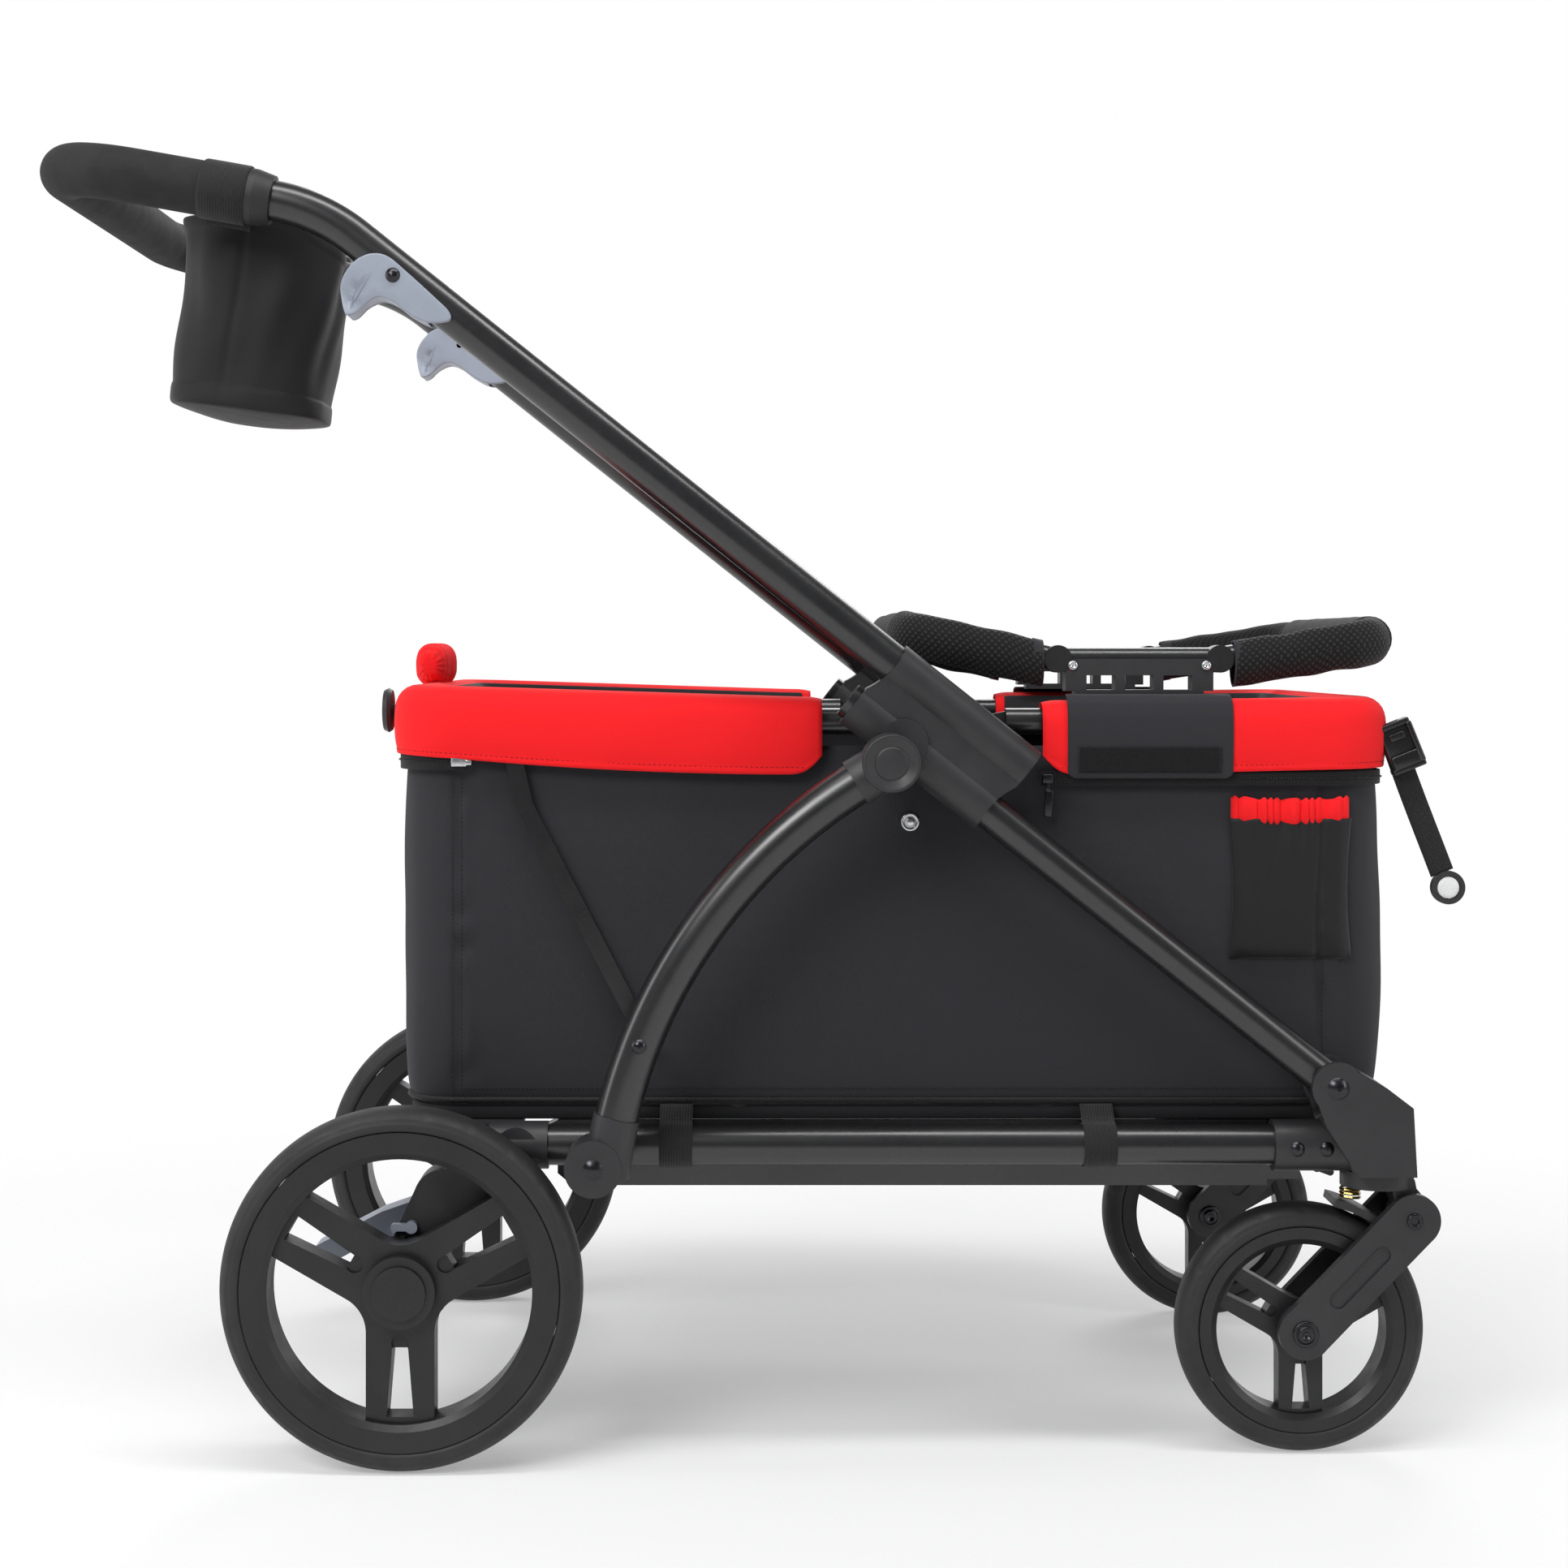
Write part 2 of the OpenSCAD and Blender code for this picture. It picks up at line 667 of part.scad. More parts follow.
module link_pins() {
    color(steel) placed() for (side = [RIGHT, LEFT]) on_side(side) {
        rod_y(link_pivot, link_pin_r, link_y + link_t / 2 + soft_gap, rear_leg_y + rear_leg_r);
        translate([link_pivot[0], rear_leg_y + rear_leg_r, link_pivot[1]]) dome_head(6, 3);
    }
}

// Flat links that hang from pins on the rear rail and are kinked below the rim
link_kink = link_pivot + [-98, 189];
link_end = [link_kink[0] - 16, rail_z];
link_r = 7;

module rail_link(side) {
    color(satin_black) placed() on_side(side) across(link_y - link_t / 2, link_y + link_t / 2)
        difference() {
            union() {
                bar_2d(link_pivot, link_kink, link_r);
                bar_2d(link_kink, link_end, link_r + 0.4);
            }
            translate(link_end) circle(link_pin_r + run_gap);
        }
}

// Rim rails: each a U of tube with flattened ends on the housings' pins

blade_len = 62;
blade_gap = 0.3;

module rim_rail(x1, blade_y) {
    way = sign(x1 - rail_pivot[0]);
    x0 = rail_pivot[0] + way * blade_len;
    difference() {
        union() {
            translate([x0, 0, rail_z]) rotate([0, 0, way > 0 ? 0 : 180])
                u_bar(abs(x1 - x0), rail_y, rail_corner, rail_r, tube_wall);
            for (side = [RIGHT, LEFT]) on_side(side) across(blade_y, blade_y + rail_blade_t)
                bar_2d([x0 + way * 4, rail_z], rail_pivot, 9);
        }
        for (side = [RIGHT, LEFT]) on_side(side)
            rod_y(rail_pivot, rail_pin_r + run_gap, blade_y - 1, blade_y + rail_blade_t + 1);
    }
}

module rear_rail() {
    color(satin_black) placed() {
        rim_rail(rail_x0, rail_y + blade_gap);
        for (side = [RIGHT, LEFT]) on_side(side)
            rod_y(link_end, link_pin_r, rail_y, link_y + link_t / 2 + soft_gap);
    }
}

module front_rail() {
    color(satin_black) placed() rim_rail(rail_x1, rail_y - blade_gap - rail_blade_t);
}

// Padded covers: a cloth channel over each rail, open below
cover_in = rail_r + cover_t + soft_gap;
cover_clear = 91;
cover_lip = 30;

module cover_plan(grow) {
    round_plan(rail_x0 - grow, rail_x1 + grow, rail_y + grow, rail_corner + grow);
}

module rim_cover(x0, x1) {
    intersection() {
        translate([x0, -cover_y, 0]) cube([x1 - x0, 2 * cover_y, cover_top + 1]);
        union() {
            translate([0, 0, cover_hem]) linear_extrude(cover_top - cover_hem) difference() {
                cover_plan(cover_over);
                cover_plan(cover_over - cover_t);
            }
            translate([0, 0, cover_top - cover_t]) linear_extrude(cover_t) difference() {
                cover_plan(cover_over - 1);
                cover_plan(-cover_in);
            }
            translate([0, 0, cover_top - cover_lip]) linear_extrude(cover_lip) difference() {
                cover_plan(-cover_in + cover_t);
                cover_plan(-cover_in);
            }
        }
    }
}

module rear_cover() {
    color(cloth_red) placed() rim_cover(rail_x0 - cover_over, rail_pivot[0] - cover_clear);
}

module front_cover() {
    color(cloth_red) placed() rim_cover(rail_pivot[0] + cover_clear, rail_x1 + cover_over);
}

// Gathered red roll on the rear rim
roll_r = 20;
roll_len = 116;
roll_ribs = 9;

module headrest_roll() {
    steps = roll_ribs * 6;
    profile = [for (i = [0:steps]) let (a = i / steps)
        [roll_r * sqrt(sin(180 * a)) * (1 - 0.07 * (1 - cos(360 * roll_ribs * a))), roll_len * (a - 0.5)]];
    color(cloth_red) placed()
        translate([rail_x0 - 8, 0, cover_top + soft_gap + roll_r]) rotate([90, 0, 0])
        rotate_extrude() polygon(profile);
}

// Knob on the back of the rim
module rear_knob() {
    color(satin_black) placed() translate([rail_x0 - cover_over, -150, rail_z + 8]) rotate([0, -90, 0])
        rotate_extrude() polygon([[0, 0], [5, 0], [5, 5], [17, 6], [19, 9], [17, 13], [0, 14]]);
}

// Car seat adapter: a ring of bars on two brackets that sit on the front rim

adapter_r = adapter_d / 2;
adapter_x1 = rail_x1 + 20;
adapter_x0 = adapter_x1 - adapter_len;
bracket_x = rail_x1 - 186.5;

adapter_corner = 46;
knuckle_r = adapter_r + 1.5;

// One end of the ring: a U that rises away from the bracket's knuckles
module adapter_end(reach, rise) {
    rotate([0, -atan2(rise, reach), 0])
        u_bar(norm([reach, rise]), adapter_y, adapter_corner, adapter_r, tube_wall);
}

module adapter_ring() {
    half = bracket_len / 2;
    color(satin_black) placed() {
        translate([bracket_x + half, 0, adapter_z]) adapter_end(adapter_x1 - bracket_x - half, adapter_rise_front);
        translate([bracket_x - half, 0, adapter_z]) rotate([0, 0, 180])
            adapter_end(bracket_x - half - adapter_x0, adapter_rise_rear);
        for (side = [RIGHT, LEFT]) translate([bracket_x, side * adapter_y, adapter_z]) {
            rotate([0, 90, 0]) cylinder(r = adapter_r - 0.5, h = bracket_len, center = true);
            for (end = [-half, half]) translate([end, 0, 0]) rotate([90, 0, 0])
                cylinder(r = knuckle_r, h = 2 * knuckle_r, center = true);
        }
    }
}

module adapter_brackets() {
    foot = cover_top + soft_gap;
    window = [24, 12];
    color(charcoal) placed() for (side = [RIGHT, LEFT]) on_side(side) difference() {
        across(adapter_y - 12, adapter_y + 12) translate([bracket_x, foot]) {
            translate([-bracket_len / 2 + 6, 4]) square([bracket_len - 12, adapter_z - foot - 4]);
            translate([-bracket_len / 2 + 14, 0]) square([bracket_len - 28, 10]);
        }
        translate([bracket_x - bracket_len / 2, adapter_y, adapter_z]) rotate([0, 90, 0])
            cylinder(r = adapter_r - 0.5, h = bracket_len);
        for (end = [-1, 1]) rod_y([bracket_x + end * bracket_len / 2, adapter_z], knuckle_r + soft_gap,
            adapter_y - 13, adapter_y + 13);
        for (i = [-1, 0, 1]) across(adapter_y - 13, adapter_y + 13)
            translate([bracket_x + i * (window[0] + 8) - window[0] / 2, foot + 5]) square(window);
    }
}

// Webbing pull strap with its ring
module pull_strap() {
    color(cloth_black) placed() translate([strap_top[0], strap_y, strap_top[1]]) rotate([0, -strap_slope, 0])
        union() {
            translate([-strap_t / 2, -strap_w / 2, -strap_len]) cube([strap_t, strap_w, strap_len]);
            translate([-strap_t / 2, -strap_w / 2 - 5, -46]) cube([9, strap_w + 10, 30]);
        }
}

module pull_ring() {
    color(charcoal) placed() translate([ring_at[0], strap_y, ring_at[1]]) rotate([0, -strap_slope, 0])
        difference() {
            rotate([90, 0, 0]) cylinder(r = ring_r, h = 7, center = true);
            rotate([90, 0, 0]) translate([0, 0, 2]) cylinder(r = ring_r - 4, h = 7);
        }
}

// Swivelling casters with sprung swing arms

stem_r = 10;
stem_h = 36;
yoke_top = block_floor - pass_gap;
yoke_floor = 218;
yoke_r = 30;
arm_t = 9;
arm_in = front_w / 2 + 3;
ear_r = 14;
arm_pin_r = 5;
fender_r = front_d / 2 + 3;
fender_t = 6;
spring_at = [swivel_x - 22, yoke_floor];
spring_r = 8;
wire_r = 1.2;
spring_turns = 3;

module caster_frame(side) {
    translate([0, side * caster_y, 0]) children();
}

module swivel_yoke(side) {
    color(charcoal) placed() caster_frame(side) difference() {
        union() {
            translate([swivel_x, 0, yoke_floor]) cylinder(r = yoke_r, h = yoke_top - yoke_floor);
            translate([swivel_x, 0, yoke_floor]) cylinder(r = stem_r, h = block_floor + stem_h - yoke_floor);
            for (ear = [-1, 1]) across(ear * 16.5 - 5, ear * 16.5 + 5)
                bar_2d(arm_pivot, [arm_pivot[0] - 6, yoke_floor + 4], ear_r - 5);
            for (ear = [-1, 1]) rod_y(arm_pivot, ear_r, ear * 16.5 - 5, ear * 16.5 + 5);
        }
        rod_y(arm_pivot, arm_pin_r + run_gap, -30, 30);
    }
}

module swing_arm(side) {
    color(charcoal) placed() caster_frame(side) {
        difference() {
            for (arm = [-1, 1]) across(min(arm * arm_in, arm * (arm_in + arm_t)),
                max(arm * arm_in, arm * (arm_in + arm_t))) bar_2d(arm_pivot, front_axle_at, arm_w / 2);
            for (arm = [-1, 1]) across(arm * (arm_in + arm_t) - 2, arm * (arm_in + arm_t) + 2) {
                mid = (arm_pivot + front_axle_at) / 2;
                reach = (front_axle_at - arm_pivot) * 0.2;
                bar_2d(mid - reach, mid + reach, arm_w / 6);
            }
        }
        rod_y(arm_pivot, arm_pin_r, -arm_in - 1, arm_in + 1);
        rod_y(front_axle_at, arm_pin_r, -arm_in - 1, arm_in + 1);
        translate([front_axle_at[0], arm_in, front_axle_at[1]]) rotate([90, 0, 0]) rotate([0, 0, 52])
            rotate_extrude(angle = 24) translate([fender_r, 0]) square([fender_t, 2 * arm_in]);
    }
}

// Coil spring between the swing arm's fender and the yoke, as one tube along a helix
function spring_height() = yoke_floor - (front_axle_at[1]
    + sqrt(pow(fender_r + fender_t, 2) - pow(spring_at[0] - front_axle_at[0], 2)));
function helix_point(t, rise) = [spring_r * cos(360 * t), spring_r * sin(360 * t),
    -wire_r - soft_gap - rise * t / spring_turns];

module spring(side) {
    rise = spring_height() - 2 * wire_r - 8 * soft_gap;
    rings = spring_turns * 8;
    sides = 6;
    points = [for (i = [0:rings], j = [0:sides - 1]) let (
        t = i / 8, out = wire_r * cos(360 * j / sides), up = wire_r * sin(360 * j / sides))
        helix_point(t, rise) + [out * cos(360 * t), out * sin(360 * t), up]];
    faces = concat(
        [for (i = [0:rings - 1], j = [0:sides - 1]) [i * sides + j, (i + 1) * sides + j, i * sides + (j + 1) % sides]],
        [for (i = [0:rings - 1], j = [0:sides - 1])
            [i * sides + (j + 1) % sides, (i + 1) * sides + j, (i + 1) * sides + (j + 1) % sides]],
        [[for (j = [0:sides - 1]) j]], [[for (j = [sides - 1:-1:0]) rings * sides + j]]);
    echo(spring_gap = rise / spring_turns - 2 * wire_r);
    color(gold) placed() caster_frame(side) translate([spring_at[0], 0, spring_at[1]])
        polyhedron(points, faces);
}

// Small lever under the sleeve that stops the swivel
lock_y0 = 210;
lock_y1 = 227;
lock_pivot = [front_pivot_x - 8, side_z - tube_r - sleeve_t - 2 * run_gap];

module swivel_lock(side) {
    color(charcoal) placed() on_side(side) across(lock_y0, lock_y1) {
        translate(lock_pivot) circle(4);
        bar_2d(lock_pivot, lock_pivot + [11, -4], 3);
    }
}

// Wheels: tyre, and a rim with three double spokes

// Opening between two spokes, about the +x axis: a round root and straight spoke edges
module spoke_window(r, spoke_w, root_r) {
    apex = spoke_w / 2 / sin(60);
    root = apex + root_r / sin(60);
    tangent = root_r / tan(60);
    intersection() {
        circle(r);
        union() {
            translate([root, 0]) circle(root_r);
            polygon([
                [apex + tangent * cos(60), tangent * sin(60)], [apex + 2 * r * cos(60), 2 * r * sin(60)],
                [apex + 2 * r * cos(60), -2 * r * sin(60)], [apex + tangent * cos(60), -tangent * sin(60)]]);
        }
    }
}

module tyre(at, y, r, rim_r, w) {
    crown = w * 0.66;
    translate([at[0], y, at[1]]) rotate([90, 0, 0]) rotate_extrude() intersection() {
        translate([rim_r, -w / 2]) square([r - rim_r, w]);
        translate([r - crown, 0]) circle(crown);
    }
}

// Rim with its outer face towards +y
module wheel_rim(rim_r, w, hub_r, bore_r, bore_end) {
    window_r = rim_r - 0.17 * rim_r;
    spoke_w = 0.43 * rim_r;
    spoke_t = 0.55 * w;
    difference() {
        union() {
            rotate([90, 0, 0]) rotate_extrude() polygon([
                [window_r, -w / 2 + 5], [window_r + 5, -w / 2 + 1], [rim_r, -w / 2 + 1],
                [rim_r, w / 2 - 1], [window_r + 5, w / 2 - 1], [window_r, w / 2 - 5]]);
            across(-spoke_t / 2, spoke_t / 2) difference() {
                circle(window_r + 1);
                for (turn = [30, 150, 270]) rotate(turn + 60)
                    spoke_window(window_r + 0.5, spoke_w, 0.24 * rim_r);
                for (turn = [30, 150, 270]) rotate(turn) polygon([
                    [0.36 * rim_r, 0.05 * rim_r], [0.79 * rim_r, 0.085 * rim_r],
                    [0.79 * rim_r, -0.085 * rim_r], [0.36 * rim_r, -0.05 * rim_r]]);
            }
            across(-w / 2, w / 2) circle(hub_r);
        }
        rod_y([0, 0], bore_r + run_gap, -w / 2 - 1, bore_end);
        for (turn = [30, 150, 270]) across(spoke_t / 2 - 3, spoke_t / 2 + 1)
            rotate(turn) translate([0.33 * rim_r, 0]) circle(0.055 * rim_r);
    }
}

module front_tyre(side) {
    color(charcoal) placed() tyre(front_axle_at, side * caster_y, front_d / 2, front_rim_d / 2, front_w);
}

module front_rim(side) {
    color(satin_black) placed() on_side(side) translate([front_axle_at[0], caster_y, front_axle_at[1]])
        wheel_rim(front_rim_d / 2, front_w, 20, arm_pin_r, front_w);
}

module rear_tyre(side) {
    color(charcoal) placed() tyre(rear_axle_at, side * wheel_y, rear_d / 2, rear_rim_d / 2, rear_w);
}

// Rear rim with its hub cap outside and the brake's toothed ring inside
hub_cap_r = 21.6;
ring_tooth_r = 37.8;
ring_teeth = 20;
tooth_gap = 7.6;

module rear_rim(side) {
    half = rear_w / 2;
    color(satin_black) placed() on_side(side) translate([rear_axle_at[0], wheel_y, rear_axle_at[1]]) {
        wheel_rim(rear_rim_d / 2, rear_w, 29, axle_r, half - 3.5);
        rod_y([0, 0], hub_cap_r, half, half + 3);
        across(-half, -half + 6) difference() {
            circle(ring_tooth_r);
            circle(axle_r + 10);
            for (i = [0:ring_teeth - 1]) rotate(pawl_angle + i * 360 / ring_teeth)
                translate([ring_tooth_r - 5, -tooth_gap / 2]) square([10, tooth_gap]);
        }
    }
}

// Foot brake: one pedal on a cross rod with a pawl for each rear wheel

brake_at = rear_axle_at + [5, 44];
brake_rod_r = 5;
brake_turn = 18;
pawl_reach = 14;
pawl_half = 3;
pawl_tip_r = 2.2;
pawl_end = brake_at - rear_axle_at - pawl_reach * [cos(brake_turn), sin(brake_turn)];
pawl_angle = atan2(pawl_end[1], pawl_end[0]);

module brake_pedal() {
    inner_face = wheel_y - rear_w / 2;
    color(lever_grey) placed() {
        rod_y(brake_at, brake_rod_r, -inner_face - 4, inner_face + 4);
        for (side = [RIGHT, LEFT]) on_side(side) across(inner_face - 2, inner_face + 4) {
            bar_2d(brake_at, brake_at - [pawl_reach, 0], pawl_half);
            translate(brake_at - [pawl_reach, pawl_tip_r]) circle(pawl_tip_r);
        }
        mirror([0, 1, 0]) across(side_y - 46, side_y - 18) {
            translate(brake_at) circle(14);
            translate(brake_at) polygon([[-4, 13], [-30, 4], [-84, -24], [-90, -38], [-78, -42], [-34, -18], [4, -13]]);
        }
    }
}

side_tube(RIGHT);  // side_tube_right
side_tube(LEFT);  // side_tube_left
front_block(RIGHT);  // front_block_right
front_block(LEFT);  // front_block_left
rear_bracket(RIGHT);  // rear_bracket_right
rear_bracket(LEFT);  // rear_bracket_left
front_cross_tube();
rear_axle();
floor_board();
floor_rails();
frame_bolts();
basket_side(RIGHT);  // basket_side_right
basket_side(LEFT);  // basket_side_left
basket_front();
basket_rear();
front_leg(RIGHT);  // front_leg_right
front_leg(LEFT);  // front_leg_left
handle_tube();
handle_grip();
grip_collars();
slider_housing(RIGHT);  // slider_housing_right
slider_housing(LEFT);  // slider_housing_left
handle_pins();
cup_holder();
cup_straps();
release_lever(RIGHT);  // release_lever_right
release_lever(LEFT);  // release_lever_left
rear_leg(RIGHT);  // rear_leg_right
rear_leg(LEFT);  // rear_leg_left
rear_leg_caps();
link_pins();
rail_link(RIGHT);  // rail_link_right
rail_link(LEFT);  // rail_link_left
rear_rail();
rear_cover();
headrest_roll();
rear_knob();
front_rail();
front_cover();
adapter_ring();
adapter_brackets();
pull_strap();
pull_ring();
swivel_yoke(RIGHT);  // swivel_yoke_right
swivel_yoke(LEFT);  // swivel_yoke_left
spring(RIGHT);  // spring_right
spring(LEFT);  // spring_left
swivel_lock(RIGHT);  // swivel_lock_right
swivel_lock(LEFT);  // swivel_lock_left
swing_arm(RIGHT);  // swing_arm_right
swing_arm(LEFT);  // swing_arm_left
front_tyre(RIGHT);  // front_tyre_right
front_tyre(LEFT);  // front_tyre_left
front_rim(RIGHT);  // front_rim_right
front_rim(LEFT);  // front_rim_left
rear_tyre(RIGHT);  // rear_tyre_right
rear_tyre(LEFT);  // rear_tyre_left
rear_rim(RIGHT);  // rear_rim_right
rear_rim(LEFT);  // rear_rim_left
brake_pedal();
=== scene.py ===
# %% [markdown]
# # A folding stroller wagon
# The tubes, wheels, hinges and housings come ready-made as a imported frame. This lesson dresses that frame:
# it paints every solid with a node material, sews the cloth parts as new meshes, and adds webbing, zips,
# stitches and screws. Everything is in metres, and each new piece is told which moving body of the frame
# carries it.

# %% Load the frame
import json
import math

import bmesh
import bpy
import numpy as np
from mathutils import Matrix, Vector

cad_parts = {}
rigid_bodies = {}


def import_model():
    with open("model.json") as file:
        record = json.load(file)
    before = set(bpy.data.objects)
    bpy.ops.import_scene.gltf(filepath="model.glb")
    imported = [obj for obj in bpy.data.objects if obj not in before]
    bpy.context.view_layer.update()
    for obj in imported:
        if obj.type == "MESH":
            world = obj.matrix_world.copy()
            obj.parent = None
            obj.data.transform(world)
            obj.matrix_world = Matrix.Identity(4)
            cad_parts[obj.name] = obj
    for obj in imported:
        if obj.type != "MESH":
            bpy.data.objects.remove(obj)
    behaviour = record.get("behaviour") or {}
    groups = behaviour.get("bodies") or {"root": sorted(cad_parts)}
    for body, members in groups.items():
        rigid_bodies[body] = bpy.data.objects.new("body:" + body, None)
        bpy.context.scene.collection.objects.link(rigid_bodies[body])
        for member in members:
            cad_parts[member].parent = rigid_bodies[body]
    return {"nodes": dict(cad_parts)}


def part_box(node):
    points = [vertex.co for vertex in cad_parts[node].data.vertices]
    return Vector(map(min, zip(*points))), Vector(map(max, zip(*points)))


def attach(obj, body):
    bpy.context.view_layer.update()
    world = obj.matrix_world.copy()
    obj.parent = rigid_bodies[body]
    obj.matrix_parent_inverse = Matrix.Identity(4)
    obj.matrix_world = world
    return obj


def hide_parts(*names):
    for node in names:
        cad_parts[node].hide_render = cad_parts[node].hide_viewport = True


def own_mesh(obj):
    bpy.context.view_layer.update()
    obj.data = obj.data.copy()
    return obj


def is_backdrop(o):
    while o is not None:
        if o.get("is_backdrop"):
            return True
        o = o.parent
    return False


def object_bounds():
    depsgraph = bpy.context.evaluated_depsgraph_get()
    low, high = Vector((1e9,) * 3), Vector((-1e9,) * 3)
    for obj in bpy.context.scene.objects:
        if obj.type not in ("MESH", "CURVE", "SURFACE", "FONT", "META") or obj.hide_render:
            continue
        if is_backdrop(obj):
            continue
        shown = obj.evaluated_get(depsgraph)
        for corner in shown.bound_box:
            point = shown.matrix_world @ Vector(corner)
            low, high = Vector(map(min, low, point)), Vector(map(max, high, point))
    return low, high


for leftover in list(bpy.data.objects):
    bpy.data.objects.remove(leftover)
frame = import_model()
nodes = frame["nodes"]
cad_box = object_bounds()
MM = 0.001

# %% [markdown]
# ## One set of drawing coordinates
# The wagon was drawn in millimetres from its own datum, and then moved so that its box is centred. The rear
# axle sits 281 mm behind the datum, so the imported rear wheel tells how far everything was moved. The side
# of the wagon that faces the camera is the right one, at minus y, and most pieces exist twice, so a side is
# just a sign.

# %% Drawing coordinates
REAR_AXLE = (-281.0, 146.0)
FRONT_AXLE = (452.0, 102.0)
RIGHT, LEFT = -1, 1
wheel_low, wheel_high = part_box("rear_tyre_right")
datum_x = (wheel_low.x + wheel_high.x) / 2 / MM - REAR_AXLE[0]


def place(x, y, z):
    """A drawing point in millimetres as a scene point in metres."""
    return Vector(((x + datum_x) * MM, y * MM, z * MM))


def side_name(stem, side):
    return stem + ("_right" if side == RIGHT else "_left")


def add_object(name, data):
    item = bpy.data.objects.new(name, data)
    bpy.context.scene.collection.objects.link(item)
    return item


print(f"the drawing's datum is {datum_x:.2f} mm from the middle of the box")

# %% [markdown]
# ## Camera
# The photograph looks square at the wagon's side from 2.45 m, with the lens at 0.66 m. The wagon isn't in
# the middle of the picture, so the lens is shifted a little. A shift keeps the view square, where turning
# the camera would make the upright lines lean.

# %% Camera
camera_data = bpy.data.cameras.new("side_camera")
camera_data.sensor_width = 36
camera_data.lens = 61.75
camera_data.shift_x = 0.0212
camera_data.shift_y = -0.0859
camera = add_object("side_camera", camera_data)
camera.location = place(0, -2450, 660)
camera.rotation_euler = (math.radians(90), 0, 0)
bpy.context.scene.camera = camera
print(f"camera at {camera.location.y:.2f} m, lens {camera_data.lens} mm")

# %% [markdown]
# ## Studio
# A product studio is a pale sweep of paper with large soft lamps. The sweep here is one mesh: floor, a wide
# bend and a wall. Light Path makes it plain white where the camera or a mirror-like surface looks at it far
# from the wagon, and near the wagon it stays paper, so that the shadow shows. The lamps stay at a plain
# level, so a colour renders about as it is written.

# %% Studio
bpy.context.scene.view_settings.view_transform = "Standard"


def link_nodes(tree, *pairs):
    """Joins pairs of sockets."""
    for start, end in pairs:
        tree.links.new(start, end)


def wire(tree, *links):
    """Joins nodes. A link is a node, its output, the next node and its input."""
    for start, output, end, entry in links:
        tree.links.new(start.outputs[output], end.inputs[entry])


def paper_sweep():
    profile = [(-4.0, 0.0), (2.2, 0.0)]
    profile += [(2.2 + math.sin(a) * 1.2, 1.2 - math.cos(a) * 1.2)
                for a in np.linspace(0.1, math.pi / 2, 14)]
    profile += [(3.4, 6.0)]
    mesh = bpy.data.meshes.new("paper_sweep")
    points = [(x, y, z) for y, z in profile for x in (-7, 7)]
    faces = [(2 * i, 2 * i + 1, 2 * i + 3, 2 * i + 2) for i in range(len(profile) - 1)]
    mesh.from_pydata(points, [], faces)
    mesh.shade_smooth()
    sweep = add_object("paper_sweep", mesh)
    sweep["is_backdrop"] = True
    return sweep


def paper_material():
    material = bpy.data.materials.new("studio_paper")
    material.use_nodes = True
    tree = material.node_tree
    tree.nodes.clear()
    out = tree.nodes.new("ShaderNodeOutputMaterial")
    paper = tree.nodes.new("ShaderNodeBsdfDiffuse")
    paper.inputs["Color"].default_value = (0.9, 0.9, 0.9, 1)
    white = tree.nodes.new("ShaderNodeEmission")
    rays = tree.nodes.new("ShaderNodeLightPath")
    seen = tree.nodes.new("ShaderNodeMath")
    seen.operation = "MAXIMUM"
    where = tree.nodes.new("ShaderNodeTexCoord")
    from_wagon = tree.nodes.new("ShaderNodeVectorMath")
    from_wagon.operation = "LENGTH"
    far = tree.nodes.new("ShaderNodeMapRange")
    far.inputs["From Min"].default_value = 0.35
    far.inputs["From Max"].default_value = 1.5
    far.inputs["To Min"].default_value = 0.3
    share = tree.nodes.new("ShaderNodeMath")
    share.operation = "MULTIPLY"
    mix = tree.nodes.new("ShaderNodeMixShader")
    wire(
        tree,
        (rays, "Is Camera Ray", seen, 0),
        (rays, "Is Glossy Ray", seen, 1),
        (where, "Object", from_wagon, 0),
        (from_wagon, "Value", far, "Value"),
        (far, "Result", share, 0),
        (seen, "Value", share, 1),
        (share, "Value", mix, "Fac"),
        (paper, "BSDF", mix, 1),
        (white, "Emission", mix, 2),
        (mix, "Shader", out, "Surface"),
    )
    return material


def soft_lamp(name, at, towards, size, watts):
    lamp_data = bpy.data.lights.new(name, "AREA")
    lamp_data.shape = "RECTANGLE"
    lamp_data.size, lamp_data.size_y = size
    lamp_data.energy = watts
    lamp = add_object(name, lamp_data)
    lamp.location = at
    lamp.rotation_euler = (Vector(towards) - Vector(at)).to_track_quat("-Z", "Y").to_euler()
    return lamp


sweep = paper_sweep()
sweep.data.materials.append(paper_material())
world = bpy.data.worlds.new("studio_air")
bpy.context.scene.world = world
world.use_nodes = True
air = world.node_tree.nodes["Background"]
air.inputs["Color"].default_value = (0.9, 0.92, 0.95, 1)
air.inputs["Strength"].default_value = 0.2
bright_air = world.node_tree.nodes.new("ShaderNodeBackground")
bright_air.inputs["Color"].default_value = (1, 1, 1, 1)
air_rays = world.node_tree.nodes.new("ShaderNodeLightPath")
air_mix = world.node_tree.nodes.new("ShaderNodeMixShader")
air_out = world.node_tree.nodes["World Output"]
wire(
    world.node_tree,
    (air_rays, "Is Camera Ray", air_mix, "Fac"),
    (air, "Background", air_mix, 1),
    (bright_air, "Background", air_mix, 2),
    (air_mix, "Shader", air_out, "Surface"),
)
